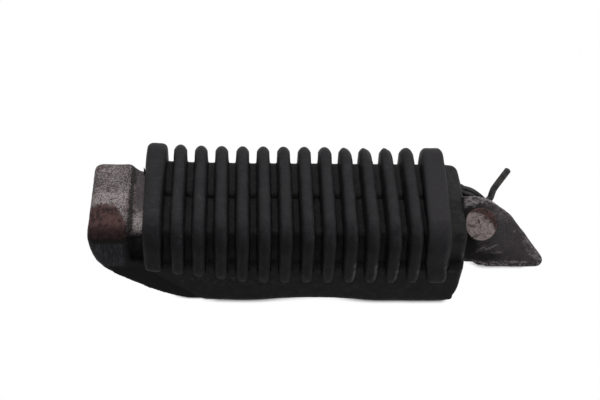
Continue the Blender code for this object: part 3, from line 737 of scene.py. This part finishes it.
def smooth_path(knots, steps):
    """A curve through knots, with so many steps from each one to the next."""
    knots = [Vector(knot) for knot in knots]
    knots = [2 * knots[0] - knots[1]] + knots + [2 * knots[-1] - knots[-2]]
    points = []
    for before, start, end, after in zip(knots, knots[1:], knots[2:], knots[3:]):
        slope = end - before
        bend = 2 * before - 5 * start + 4 * end - after
        twist = 3 * start - before - 3 * end + after
        for i in range(steps):
            t = i / steps
            points.append(0.5 * (2 * start + slope * t + bend * t**2 + twist * t**3))
    points.append(knots[-2])
    return points


def tube(name, points, radius, sides, place):
    """A round wire through points, its ends slightly rounded."""
    points = [Vector(p) for p in points]
    tangents = []
    for i, _ in enumerate(points):
        ahead = points[min(i + 1, len(points) - 1)]
        behind = points[max(i - 1, 0)]
        tangents.append((ahead - behind).normalized())
    side = tangents[0].orthogonal().normalized()
    rings = []
    for i, (point, tangent) in enumerate(zip(points, tangents)):
        side = (side - tangent * side.dot(tangent)).normalized()
        up = tangent.cross(side)
        sizes = ((0.0, 1.0),)
        if i == 0:
            sizes = WIRE_END
        elif i == len(points) - 1:
            sizes = [(-along, size) for along, size in reversed(WIRE_END)]
        for along, size in sizes:
            centre = point + tangent * (along * radius)
            ring = []
            for k in range(sides):
                angle = 2 * math.pi * k / sides
                out = side * math.cos(angle) + up * math.sin(angle)
                ring.append(tuple(centre + out * (radius * size)))
            rings.append(ring)
    obj = add_object(name, skin(rings), place)
    finish_mesh(obj, 40, np.zeros(len(obj.data.vertices)))
    return obj


def make_split_pin():
    wrap = PIN_RADIUS + GAP + SPLIT_WIRE_RADIUS
    leave = math.asin((SPLIT_LEG_SPREAD + SPLIT_LEG_BEND) / wrap)
    bend_centre = (wrap * math.cos(leave) - SPLIT_LEG_BEND, SPLIT_LEG_SPREAD + SPLIT_LEG_BEND)
    leg = arc((0, 0), wrap, SPLIT_LEG_WRAP, leave, 14)[:-1]
    leg += arc(bend_centre, SPLIT_LEG_BEND, 0, -math.pi / 2, 8)
    open_angle = math.asin(SPLIT_LEG_SPREAD / SPLIT_EYE_RADIUS)
    eye_centre = -(PIN_RADIUS + 0.2 + SPLIT_EYE_RADIUS * math.cos(open_angle))
    eye = arc((eye_centre, 0), SPLIT_EYE_RADIUS, open_angle, 2 * math.pi - open_angle, 28)
    outline = leg + eye + [(u, -v) for u, v in reversed(leg)]
    points = [(u, v, SPLIT_PLACE) for u, v in outline]
    return tube("split_pin_wire", points, SPLIT_WIRE_RADIUS, 16, PIVOT_FRAME)


def make_spring():
    """The spring, and the second turn that shows under its first."""
    v, low = hooked_leg_place()
    hook = [
        (-PIVOT_OFFSET - ARCH_LEG_INSERT, v, low),
        (-PIVOT_OFFSET - WIRE_RADIUS, v, low),
    ]
    hook += [(u, v + rise, low) for u, rise in ARCH_LEG_BEND]
    for degrees, share in RUN_IN:
        angle = math.radians(degrees)
        far = share * COIL_RADIUS
        hook.append((far * math.cos(angle), far * math.sin(angle), low))
    steps = math.ceil(COIL_TURNS * 48)
    coil = []
    for i in range(steps + 1):
        angle = COIL_START - 2 * math.pi * COIL_TURNS * i / steps
        height = low + COIL_TURNS * COIL_PITCH * i / steps
        coil.append((COIL_RADIUS * math.cos(angle), COIL_RADIUS * math.sin(angle), height))
    high = coil[-1][2]
    points = smooth_path(hook, 6) + [Vector(p) for p in coil]
    points += smooth_path([(a, b, high) for a, b in FREE_LEG], 6)
    across, up = SECOND_TURN_OFFSET
    second = smooth_path([(a, b + across, c + up) for a, b, c in hook[1:9]], 6)
    return (
        tube("spring", points, WIRE_RADIUS + WIRE_SWELL, 24, PIVOT_FRAME),
        tube("spring_second_turn", second, WIRE_RADIUS, 16, PIVOT_FRAME),
    )


# Materials

# Tones, in linear light
# painted shade for the near half of the groove floor
GROOVE_PAINTED_SHADE = (0.0045, 0.0044, 0.0048)
# painted shade for the notch along the groove floor
NOTCH_PAINTED_SHADE = (0.0028, 0.0028, 0.0028)
# painted light for the ledge and the groove's lower side
LEDGE_PAINTED_LIGHT = (0.062, 0.060, 0.064)
WORN_PIN = (0.27, 0.235, 0.23)

# Marks on the ears' faces and on the pin's head: how strong, centre in (u, v), half sizes,
# turn in degrees, raggedness, softness, seed
# worn pale patches and scratches; the line along the lower edge and the patch at the nose are
# painted highlights
EAR_WORN_AND_HIGHLIT = (
    (1.0, (-3.0, 8.4), (3.4, 2.0), 25, 0.9, 0.6, 1),
    (1.0, (2.9, 8.3), (3.4, 1.6), -10, 0.9, 0.6, 2),
    (0.55, (8.4, 4.6), (3.4, 3.0), -45, 0.7, 1.2, 15),
    (0.35, (0.9, -9.0), (2.4, 0.8), 30, 0.9, 0.6, 3),
    (0.55, (5.0, -10.4), (3.0, 0.45), 4, 0.6, 0.6, 4),
    (0.4, (4.0, -8.6), (3.4, 0.4), 24, 0.6, 0.6, 5),
    (0.65, (11.0, -13.8), (7.5, 0.5), 0, 0.35, 0.6, 6),
    (0.75, (19.0, -9.3), (5.0, 1.6), -52, 0.8, 0.6, 7),
    (0.9, (12.9, -2.5), (0.5, 0.5), 0, 0.3, 0.6, 8),
)
# a painted sheen on the ears' faces
EAR_PAINTED_SHEEN = ((0.65, (10.5, -1.0), (6.5, 8.5), -30, 0.3, 1.4, 16),)
# painted shade round the boss's edge and beside the collar
EAR_PAINTED_SHADE_MARKS = (
    (1.0, (-3.7, 5.7), (2.0, 1.1), 30, 0.7, 0.6, 17),
    (0.7, (0.4, 7.1), (2.2, 0.6), 5, 0.7, 0.6, 18),
    (0.6, (6.6, 1.5), (0.6, 3.4), 0, 0.5, 0.6, 19),
)
EAR_BROWN = ((0.35, (13.5, -6.5), (9.5, 6.0), -40, 0.5, 1.2, 9),)
# dark patches round and below the pin
EAR_DARK_PATCHES = (
    (1.0, (-4.4, -7.2), (3.4, 6.0), 14, 0.35, 0.9, 10),
    (0.85, (0.6, -11.6), (6.5, 1.9), 0, 0.5, 0.9, 11),
    (0.5, (-5.4, 1.5), (1.2, 3.2), 0, 0.4, 0.6, 12),
)
HEAD_PITS = (
    (1.0, (-0.9, 1.0), (0.42, 1.0), 12, 0.9, 0.6, 61),
    (1.0, (3.4, 1.0), (0.8, 0.34), 28, 0.9, 0.6, 62),
    (1.0, (1.6, 2.4), (0.9, 0.5), -35, 0.9, 0.6, 64),
    (0.7, (-3.6, -0.6), (1.3, 0.4), -25, 0.9, 0.6, 63),
    (0.5, (-1.6, -4.1), (1.6, 0.5), 20, 0.9, 0.6, 65),
)


def set_inputs(node, inputs):
    """Sets a node's inputs, by name or number, to a value or to another node's output."""
    for key, value in inputs.items():
        if isinstance(value, bpy.types.NodeSocket):
            node.id_data.links.new(value, node.inputs[key])
        else:
            node.inputs[key].default_value = value


def add_node(tree, kind, inputs=(), **settings):
    node = tree.nodes.new("ShaderNode" + kind)
    for name, value in settings.items():
        setattr(node, name, value)
    set_inputs(node, dict(inputs))
    return node


class Look:
    """A node material built step by step; places are in millimetres, tone is its colour so far."""

    def __init__(self, name):
        self.material = bpy.data.materials.new(name)
        self.material.use_nodes = True
        self.tree = self.material.node_tree
        metres = self.node("TexCoord").outputs["Object"]
        scaling = self.node("VectorMath", {0: metres, "Scale": 1 / MM}, operation="SCALE")
        self.place = scaling.outputs["Vector"]
        self.x, self.y, self.z = self.parts(self.place)
        self.tone = None

    def node(self, kind, inputs=(), **settings):
        return add_node(self.tree, kind, inputs, **settings)

    def parts(self, vector):
        return self.node("SeparateXYZ", {0: vector}).outputs

    def vector(self, operation, a, b=(0.0, 0.0, 0.0)):
        node = self.node("VectorMath", {0: a, 1: b}, operation=operation)
        return node.outputs["Value" if operation == "LENGTH" else "Vector"]

    def math(self, operation, a, b=0.0):
        return self.node("Math", {0: a, 1: b}, operation=operation).outputs[0]

    def plus(self, a, b):
        return self.math("ADD", a, b)

    def minus(self, a, b):
        return self.math("SUBTRACT", a, b)

    def times(self, *values):
        result = values[0]
        for value in values[1:]:
            result = self.math("MULTIPLY", result, value)
        return result

    def most(self, *values):
        result = values[0]
        for value in values[1:]:
            result = self.math("MAXIMUM", result, value)
        return result

    def swing(self, noise_value, size):
        """Noise about 0.5 as a push of either sign."""
        return self.times(self.minus(noise_value, 0.5), size)

    def noise(self, size, detail=4, roughness=0.6, stretch=None, seed=0.0):
        """Values about 0.5; size is a lump's size in millimetres."""
        where = self.place
        if stretch:
            where = self.vector("MULTIPLY", where, stretch)
        if seed:
            where = self.vector("ADD", where, (seed, seed * 1.3, -seed))
        inputs = {"Vector": where, "Scale": 1 / size, "Detail": detail, "Roughness": roughness}
        return self.node("TexNoise", inputs).outputs["Fac"]

    def patches(self, size, low, high, **noise_settings):
        """1 where the noise is past high, 0 where it is before low."""
        return self.fade(self.noise(size, **noise_settings), low, high)

    def cells(self, size):
        node = self.node("TexVoronoi", {"Vector": self.place, "Scale": 1 / size})
        return node.outputs["Distance"]

    def fade(self, value, low, high):
        """0 at low, 1 at high, smooth between."""
        inputs = {"Value": value, "From Min": low, "From Max": high}
        return self.node("MapRange", inputs, interpolation_type="SMOOTHSTEP").outputs["Result"]

    def band(self, value, start, full, falling, end):
        """1 from full to falling, 0 before start and after end."""
        return self.times(self.fade(value, start, full), self.fade(value, end, falling))

    def near(self, centre, radius, sharp):
        """1 inside a ball about centre, 0 well outside it."""
        offset = self.vector("SUBTRACT", self.place, centre)
        distance = self.vector("LENGTH", self.vector("DIVIDE", offset, (radius, radius, radius)))
        return self.fade(distance, 1 + sharp / 2, 1 - sharp / 2)

    def colour(self, share, a, b):
        a, b = ((*tone, 1) if isinstance(tone, tuple) else tone for tone in (a, b))
        return self.node("Mix", {0: share, 6: a, 7: b}, data_type="RGBA").outputs[2]

    def value(self, share, a, b):
        return self.node("Mix", {0: share, 2: a, 3: b}, data_type="FLOAT").outputs[0]

    def lay(self, tone, *shares):
        """Lays a tone over the colour so far, as strong as its shares' product."""
        self.tone = self.colour(self.times(*shares), self.tone, tone)

    def attribute(self, name):
        return self.node("Attribute", attribute_name=name).outputs["Fac"]

    def facing(self, axis):
        """How much the surface faces +X, +Y or +Z, from -1 to 1."""
        return self.parts(self.node("TexCoord").outputs["Normal"])["XYZ".index(axis)]

    def pivot_places(self):
        """u along the peg and v across it, from the pivot, in the tilted frame of the ears."""
        u = self.minus(self.x, PIVOT_X)
        return u, self.times(self.minus(self.plus(self.y, self.z), PIVOT_HEIGHT), math.sqrt(0.5))

    def spot(self, u, v, centre, size, turn, ragged, soft, seed):
        """1 inside a ragged ellipse drawn on the ears' faces."""
        du, dv = self.minus(u, centre[0]), self.minus(v, centre[1])
        cos, sin = math.cos(math.radians(turn)), math.sin(math.radians(turn))
        along = self.plus(self.times(du, cos / size[0]), self.times(dv, sin / size[0]))
        across = self.plus(self.times(du, -sin / size[1]), self.times(dv, cos / size[1]))
        square = self.plus(self.times(along, along), self.times(across, across))
        distance = self.math("SQRT", square)
        wobble = self.swing(self.noise(1.3, seed=seed + 50), 2 * ragged)
        return self.fade(self.plus(distance, wobble), 1 + soft / 2, 1 - soft / 2)

    def spots(self, table):
        places = self.pivot_places()
        rows = [self.times(self.spot(*places, *row), strength) for strength, *row in table]
        return self.most(*rows)

    def bump(self, strength, distance, *reliefs):
        """The normal bumped by the sum of reliefs; distance is in millimetres."""
        height = reliefs[0]
        for relief in reliefs[1:]:
            height = self.plus(height, relief)
        inputs = {"Height": height, "Strength": strength, "Distance": distance * MM}
        return self.node("Bump", inputs).outputs["Normal"]

    def finish(self, roughness, normal, metallic=0.0, specular=0.5):
        inputs = {"Base Color": self.tone, "Roughness": roughness, "Normal": normal}
        inputs |= {"Metallic": metallic, "Specular IOR Level": specular}
        set_inputs(self.tree.nodes["Principled BSDF"], inputs)
        return self.material


def rubber_look():
    look = Look("worn_rubber")
    x, y, z, fade, band = look.x, look.y, look.z, look.fade, look.band
    times, lay, patches = look.times, look.lay, look.patches
    height = look.attribute("height")
    edge = look.attribute("edge")
    up = look.facing("Z")
    broad = look.noise(11, 3)
    mottle = look.noise(2.4, seed=7)
    grain = look.noise(0.35, 2)
    cloudy = fade(broad, 0.3, 0.7)
    low = look.colour(cloudy, (0.0104, 0.0101, 0.0110), (0.0146, 0.0140, 0.0154))
    high = look.colour(cloudy, (0.0082, 0.0078, 0.0090), (0.0128, 0.0120, 0.0134))
    look.tone = look.colour(fade(height, 0.2, 0.7), low, high)
    # the grooves: painted shade on the floor nearest the camera, painted light on the floor beyond
    # the notch and low on the side
    in_groove = fade(height, 0.3, 0.1)
    on_floor = fade(z, 29.5, 31)
    off_collar = fade(x, TREAD_END_X - 8, TREAD_END_X - 12)
    # painted shade blackens the near half of the groove floor
    lay(GROOVE_PAINTED_SHADE, in_groove, on_floor, fade(y, -0.8, -2.0), fade(x, -42, -18), 0.75)
    # painted light on the groove's side, low down
    lit_groove_side = times(in_groove, fade(y, -18.5, -19.5), off_collar)
    lay(LEDGE_PAINTED_LIGHT, lit_groove_side, fade(z, 27.5, 19.5), fade(z, 17.5, 18.8))
    # painted light, mottled, on the groove floor beyond the notch
    far_floor = times(in_groove, on_floor, fade(y, 1.5, 3))
    lay((0.027, 0.0245, 0.0275), far_floor, fade(mottle, 0.35, 0.65), 0.7)
    # painted shade blackens the notch
    from_notch = look.math("ABSOLUTE", look.minus(y, 0.5))
    in_notch = times(in_groove, fade(from_notch, 1.3, 0.7), fade(z, 29, 30.5))
    lay(NOTCH_PAINTED_SHADE, in_notch, fade(x, TREAD_END_X - 10, TREAD_END_X - 12))
    # darker low on the collar's side
    by_collar = fade(x, TREAD_END_X - 6, TREAD_END_X - 4)
    lay((0.006, 0.006, 0.0065), by_collar, fade(z, 26, 19), fade(z, 12, 16), 0.6)
    # painted light on the ledge where it faces up
    ledge = times(fade(up, 0.4, 0.8), band(z, 17.4, 18.0, 19.5, 20.2))
    lay(LEDGE_PAINTED_LIGHT, ledge, fade(y, -18.8, -19.6), off_collar)
    flange = fade(x, TREAD_END_X - 15.4, TREAD_END_X - 14.6)
    lay((0.027, 0.025, 0.0275), flange, fade(z, 20, 28), fade(height, 0.3, 0.8), 0.45)
    lay((0.026, 0.025, 0.0265), fade(mottle, 0.5, 0.75), 0.4)
    # dust lies on the tops of the fins, with painted light where they face up, and greys their worn
    # edges, partly as a painted highlight
    dust_and_light_on_top = times(fade(height, 0.8, 1.0), fade(up, 0.2, 0.9))
    lay((0.036, 0.033, 0.036), dust_and_light_on_top, fade(mottle, 0.3, 0.75), 0.5)
    chafe_and_highlight = patches(1.3, 0.4, 0.65, detail=3, roughness=0.55, seed=3)
    high_up = look.value(fade(z, 20, 24), 0.08, 1.0)
    # painted highlight with wear along the fins' edges, weak low down
    lay((0.055, 0.052, 0.053), fade(edge, 0.08, 0.3), chafe_and_highlight, 0.5, high_up)
    # painted highlight: a glint on the last fins' lower edges, where they face +X
    painted_glint = times(fade(edge, 0.05, 0.16), fade(x, 4, 12), fade(look.facing("X"), 0.15, 0.5))
    painted_glint = times(painted_glint, band(z, 11.5, 14, 22, 25))
    lay((0.12, 0.115, 0.12), painted_glint, patches(3.5, 0.42, 0.58, detail=3, seed=17), 0.8)
    lay((0.036, 0.034, 0.037), patches(4.2, 0.56, 0.70, seed=37), 0.35)
    # pale scuffs round the fins' lower ends
    scuffed = times(look.band(z, 9.5, 11.5, 13.5, 15.5), fade(x, -4, -12))
    lay((0.085, 0.08, 0.078), scuffed, patches(2.0, 0.54, 0.66, seed=21), 0.5)
    # the grooves hold dirt, the fins' ends are blacker
    dirt = times(fade(height, 0.5, 0.0), fade(z, 20, 24), fade(mottle, 0.45, 0.6))
    lay((0.038, 0.034, 0.031), dirt, 0.35)
    lay((0.003, 0.003, 0.0032), fade(height, 0.5, 0.9), fade(z, 18, 13.5), 0.3)
    # pale specks stick to the rubber, most of them near the outer end
    specks = patches(0.6, 0.66, 0.71, detail=2, roughness=0.5, seed=71)
    outward = look.value(fade(x, -25, -42), 0.3, 1.0)
    lay((0.11, 0.105, 0.11), specks, fade(broad, 0.42, 0.58), outward, fade(z, 17, 20), 0.7)
    # the outer fin is stippled with small pits
    outer_fin = fade(x, TREAD_X + OUTER_FIN_LENGTH + 0.4, TREAD_X + OUTER_FIN_LENGTH)
    pits = times(outer_fin, fade(look.cells(1.15), 0.34, 0.16))
    stippled = times(pits, band(y, -17, -12, 1, 6), fade(mottle, 0.38, 0.5))
    lay((0.004, 0.004, 0.0045), stippled, 0.6)
    # darker towards the bottom
    lay((0.002, 0.002, 0.002), fade(z, 18, 16.5), 0.22)
    roughness = look.value(fade(mottle, 0.3, 0.7), 0.5, 0.68)
    pitted = times(pits, fade(mottle, 0.42, 0.6), -1.4)
    normal = look.bump(0.55, 0.09, grain, pitted, times(mottle, 1.6))
    return look.finish(roughness, normal, specular=0.08)


def body_look():
    look = Look("worn_forged_steel")
    x, y, z, fade, band = look.x, look.y, look.z, look.fade, look.band
    times, most, plus, minus = look.times, look.most, look.plus, look.minus
    lay, patches, swing = look.lay, look.patches, look.swing
    edge = look.attribute("edge")
    up = look.facing("Z")
    front = look.math("ABSOLUTE", look.facing("Y"))
    grit = look.noise(0.52, 2, 0.7)
    speckle = look.noise(0.8, 3, 0.65, seed=4)
    blotch = look.noise(2.6, seed=11)
    broad = look.noise(7, 3, 0.5, seed=31)
    outer = fade(x, TREAD_X + 2, TREAD_X)
    # bare metal where boots have worn the knob and the neck, paler and duller in places
    look.tone = look.colour(fade(grit, 0.40, 0.60), (0.024, 0.019, 0.020), (0.178, 0.151, 0.153))
    lay((0.022, 0.017, 0.018), fade(speckle, 0.52, 0.38), 0.6)
    lay((0.23, 0.202, 0.204), fade(broad, 0.45, 0.65), fade(grit, 0.34, 0.5), 0.3)
    on_knob = fade(x, NECK_X - 1, NECK_X - 3)
    on_neck = fade(x, NECK_X, NECK_X + 1.2)
    pale_knob = times(on_knob, band(y, -6.5, -3.5, 0, 3), fade(grit, 0.36, 0.5), 0.5)
    pale_neck = times(on_neck, fade(y, -7, -10.5), fade(grit, 0.34, 0.5), 0.75)
    lay((0.26, 0.230, 0.232), most(pale_knob, pale_neck))
    dull_knob = times(on_knob, band(y, 1.5, 5, 9, 14), fade(speckle, 0.62, 0.38), 0.6)
    dull_neck = times(on_neck, fade(y, -8, -4), 0.75)
    lay((0.052, 0.044, 0.047), most(dull_knob, dull_neck))
    bare = look.tone
    # old paint, dull and mottled
    mottled = fade(blotch, 0.35, 0.7)
    look.tone = look.colour(mottled, (0.022, 0.0203, 0.0215), (0.047, 0.0415, 0.0440))
    lay((0.080, 0.073, 0.074), fade(grit, 0.5, 0.7), 0.5)
    height = plus(z, swing(blotch, 5))
    worn_top = times(outer, fade(height, 26.6, 29.2), fade(up, 0.2, 0.55))
    chips = times(fade(edge, 0.05, 0.16), patches(1.1, 0.42, 0.58, seed=5), 0.7)
    wear = most(worn_top, chips)
    lay(bare, wear)
    # a rust patch over the knob's near end, bounded above by a ragged line
    across_knob = look.math("MAXIMUM", minus(x, KNOB_X + 9), 0)
    patch_line = minus(minus(-5.2, y), times(across_knob, 1.9))
    ragged_line = plus(swing(speckle, 8), swing(broad, 9))
    patch = times(fade(plus(patch_line, ragged_line), -0.7, 0.9), outer, 0.93)
    patch = times(patch, fade(z, 27.0, 28.0), fade(x, NECK_X - 0.8, NECK_X - 1.6))
    rusty = patches(1.3, 0.36, 0.62, roughness=0.65, seed=9, stretch=(1.0, 0.6, 1.0))
    rust_tone = look.colour(rusty, (0.016, 0.0075, 0.0070), (0.086, 0.043, 0.040))
    low_rust = times(fade(y, -13.5, -17), 0.6)
    rust_tone = look.colour(low_rust, rust_tone, (0.016, 0.0085, 0.0080))
    rust = most(patch, times(outer, patches(2.4, 0.58, 0.66, seed=23), 0.6))
    lay(rust_tone, rust)
    # dark scale down the knob's sides, with fine pale streaks
    upright = (1.4, 1.4, 0.16)
    streaks = patches(0.7, 0.36, 0.66, detail=3, roughness=0.65, stretch=upright, seed=2)
    streaks = times(streaks, look.value(fade(blotch, 0.35, 0.6), 0.35, 1.0))
    side_tone = look.colour(streaks, (0.0195, 0.0195, 0.0212), (0.082, 0.083, 0.092))
    side_tone = look.colour(times(fade(z, 21.5, 18), 0.35), side_tone, (0.050, 0.051, 0.057))
    lay(side_tone, outer, fade(front, 0.5, 0.85), fade(z, 27.6, 26.8))
    # painted shade: blacker at the wedge, the neck, the outer corner, the rounded edge and the
    # crease
    wedge = times(fade(z, 17.2, 15.6), fade(x, TREAD_X + 40, TREAD_X + 36))
    beside_neck = times(fade(x, NECK_X - 3.4, NECK_X - 1.6), fade(height, 27.8, 25.6))
    corner = times(fade(x, KNOB_X + 3.2, KNOB_X + 1.2), fade(z, 29, 27), 0.7)
    wavy = plus(z, swing(speckle, 4))
    rounding = times(fade(y, -15.5, -17), band(wavy, 26.2, 27.4, 28.6, 29.6), 0.85)
    from_crease = look.math("ABSOLUTE", minus(x, NECK_X - 0.5))
    crease = times(fade(plus(from_crease, swing(blotch, 2.4)), 1.3, 0.3), 0.75)
    painted_shade = most(times(outer, most(beside_neck, corner, rounding)), wedge, crease)
    painted_shade_tone = look.colour(wedge, (0.0105, 0.0103, 0.0108), (0.0046, 0.0045, 0.0048))
    lay(painted_shade_tone, painted_shade, 0.96)
    # the fork's ears: a painted sheen towards the nose, worn at the upper corner, painted highlight
    # along the lower edge and the nose, painted shade round the boss, darker round and below the
    # pin, scratched below it
    fork = fade(x, TREAD_END_X - 1, TREAD_END_X)
    gritty = fade(grit, 0.4, 0.6)
    # painted sheen towards the nose
    painted_sheen_tone = look.colour(gritty, (0.040, 0.036, 0.038), (0.085, 0.078, 0.082))
    lay(painted_sheen_tone, look.spots(EAR_PAINTED_SHEEN), fork)
    # worn pale, partly painted highlight along the lower edge and the nose
    streak = patches(1.1, 0.40, 0.60, stretch=(0.6, 1.0, 1.0), seed=14)
    pale_wear_and_highlight = times(look.spots(EAR_WORN_AND_HIGHLIT), look.value(streak, 0.2, 1.0), fork)
    lay(look.colour(gritty, (0.100, 0.089, 0.091), (0.26, 0.232, 0.236)), pale_wear_and_highlight)
    # painted shade round the boss's edge and beside the collar
    lay((0.014, 0.013, 0.014), look.spots(EAR_PAINTED_SHADE_MARKS), fork, 0.85)
    lay((0.062, 0.053, 0.053), look.spots(EAR_BROWN), fork)
    # darker round and below the pin
    dark_patches = times(look.spots(EAR_DARK_PATCHES), fork, 0.92)
    lay((0.0032, 0.0030, 0.0032), dark_patches)
    lay((0.055, 0.034, 0.030), fork, patches(1.6, 0.6, 0.68, roughness=0.65, seed=41), 0.45)
    shown = minus(1.0, most(rust, painted_shade, dark_patches))
    metallic = times(most(wear, pale_wear_and_highlight), shown, 0.7)
    roughness = look.value(metallic, 0.6, look.value(grit, 0.38, 0.6))
    pocks = times(fade(look.cells(0.9), 0.3, 0.1), -0.35)
    grains = (times(grit, 0.7), times(speckle, 0.9), times(blotch, 1.2))
    normal = look.bump(0.6, 0.15, *grains, pocks, times(wear, -0.25))
    return look.finish(roughness, normal, metallic, specular=0.07)


def pin_look():
    look = Look("worn_pin_steel")
    fade, times, lay = look.fade, look.times, look.lay
    grit = look.noise(0.4, 2, 0.7)
    blotch = look.noise(1.2, roughness=0.65, seed=13)
    mottled = fade(blotch, 0.34, 0.58)
    look.tone = look.colour(mottled, (0.088, 0.070, 0.067), (0.200, 0.166, 0.161))
    lay(WORN_PIN, fade(grit, 0.52, 0.66), 0.5)
    lay((0.050, 0.040, 0.038), fade(grit, 0.42, 0.32), 0.3)
    # a crescent of rust round the head's upper rim, and dark pits
    u, v = look.pivot_places()
    from_centre = look.math("SQRT", look.plus(times(u, u), times(v, v)))
    upper = look.plus(times(v, 0.8), times(u, 0.6))
    inner = look.plus(from_centre, times(fade(upper, -1.0, 5.0), 4.0))
    inner = look.plus(inner, look.swing(blotch, 7))
    crescent = times(fade(inner, 6.2, 7.0), fade(upper, -1.6, 0.6))
    pinholes = times(look.patches(0.9, 0.63, 0.70, detail=3, seed=33), 0.6)
    pits = look.most(look.spots(HEAD_PITS), pinholes)
    rusty = fade(blotch, 0.38, 0.62)
    rust_tone = look.colour(rusty, (0.016, 0.0075, 0.0065), (0.075, 0.034, 0.030))
    lay(rust_tone, crescent, 0.96)
    lay((0.020, 0.014, 0.013), pits, 0.8)
    hidden = look.most(crescent, pits)
    lay(WORN_PIN, fade(look.attribute("edge"), 0.1, 0.4), look.minus(1.0, hidden), 0.35)
    metallic = look.value(hidden, 0.7, 0.05)
    roughness = look.value(hidden, look.value(grit, 0.38, 0.6), 0.75)
    normal = look.bump(0.5, 0.12, times(grit, 0.7), times(blotch, 0.9))
    return look.finish(roughness, normal, metallic, specular=0.25)


def spring_look():
    look = Look("dark_spring_wire")
    speckle = look.noise(0.45, 3)
    blotch = look.noise(1.7, seed=19)
    mottled = look.fade(blotch, 0.35, 0.65)
    look.tone = look.colour(mottled, (0.0125, 0.0125, 0.0125), (0.034, 0.034, 0.033))
    rust = look.times(look.patches(2.1, 0.56, 0.66, seed=29), 0.6)
    look.lay((0.040, 0.026, 0.024), rust)
    # the cut end of the free leg is bright
    high = hooked_leg_place()[1] + COIL_TURNS * COIL_PITCH
    end = PIVOT_FRAME @ Vector((*FREE_LEG_END, high))
    look.lay((0.24, 0.24, 0.22), look.near(tuple(end), 0.9, sharp=0.3), 0.8)
    metallic = look.value(rust, 0.7, 0.1)
    roughness = look.value(speckle, 0.34, 0.6)
    return look.finish(roughness, look.bump(0.4, 0.07, speckle, blotch), metallic, specular=0.4)


# Stage, lights and camera


def split_by_ray(tree, end, falling, seen):
    """Ends a tree in seen for camera, glossy and transmission rays, in falling for the rest."""
    path = add_node(tree, "LightPath")
    share = path.outputs["Is Camera Ray"]
    for kind in ("Is Glossy Ray", "Is Transmission Ray"):
        inputs = {0: share, 1: path.outputs[kind]}
        share = add_node(tree, "Math", inputs, operation="MAXIMUM").outputs[0]
    mix = add_node(tree, "MixShader", {0: share, 1: falling.outputs[0], 2: seen.outputs[0]})
    add_node(tree, end, {"Surface": mix.outputs[0]})


def make_floor():
    """A white floor, shaded only close to where the object stands on it."""
    bm = bmesh.new()
    bmesh.ops.create_grid(bm, x_segments=1, y_segments=1, size=FLOOR_SIZE)
    floor = link_object("floor", mesh_of("floor", bm))
    floor.location.z = -FLOOR_DROP
    material = bpy.data.materials.new("white_floor")
    material.use_nodes = True
    tree = material.node_tree
    tree.nodes.clear()
    plain = add_node(tree, "BsdfDiffuse", {"Color": FLOOR_GREY})
    nearby = add_node(tree, "AmbientOcclusion", {"Distance": FLOOR_SHADE_REACH * MM}, samples=16)
    inputs = {"Value": nearby.outputs["AO"], "From Min": 0.05, "From Max": 0.55}
    shade = add_node(tree, "MapRange", inputs, interpolation_type="SMOOTHSTEP")
    shown = add_node(tree, "Emission", {"Color": shade.outputs["Result"], "Strength": 1.0})
    split_by_ray(tree, "OutputMaterial", plain, shown)
    floor.data.materials.append(material)


def make_world():
    world = bpy.data.worlds.new("studio")
    bpy.context.scene.world = world
    world.use_nodes = True
    tree = world.node_tree
    tree.nodes.clear()
    light = add_node(tree, "Background", {"Color": WHITE, "Strength": WORLD_LIGHT})
    shown = add_node(tree, "Background", {"Color": WHITE, "Strength": 1.0})
    split_by_ray(tree, "OutputWorld", light, shown)


def area_light(name, place, target, size, power):
    data = bpy.data.lights.new(name, "AREA")
    data.shape = "RECTANGLE"
    data.size, data.size_y = size
    data.energy = power
    light = link_object(name, data)
    light.location = place
    light.rotation_euler = (Vector(target) - Vector(place)).to_track_quat("-Z", "Y").to_euler()


def make_camera():
    data = bpy.data.cameras.new("camera")
    data.lens = CAMERA_LENS
    data.sensor_width = 36
    data.clip_start = 0.01
    camera = link_object("camera", data)
    camera.location = CAMERA_PLACE
    camera.rotation_euler = [math.radians(angle) for angle in CAMERA_TURN]
    bpy.context.scene.camera = camera


def dress(obj, material, body, slot, *nodes):
    obj.data.materials.clear()
    obj.data.materials.append(material)
    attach(obj, body)
    if nodes:
        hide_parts(*nodes)


rubber = rubber_look()
pin_steel = pin_look()
spring_steel = spring_look()
dress(make_tread(), rubber, "peg", "rubber", "rubber_tread")
dress(make_flap(), rubber, "peg", "rubber")
dress(make_body(), body_look(), "peg", "forged_steel", "footpeg_body")
spring, second_turn = make_spring()
dress(spring, spring_steel, "peg", "spring_steel", "return_spring")
dress(second_turn, spring_steel, "peg", "spring_steel")
dress(make_pin(), pin_steel, "pin", "pin_steel", "pivot_pin")
dress(make_washer(), pin_steel, "pin", "pin_steel", "pin_washer")
dress(make_split_pin(), pin_steel, "pin", "pin_steel", "split_pin")

make_floor()
make_world()
for light in AREA_LIGHTS:
    area_light(*light)
make_camera()
bpy.context.scene.view_settings.view_transform = "Standard"
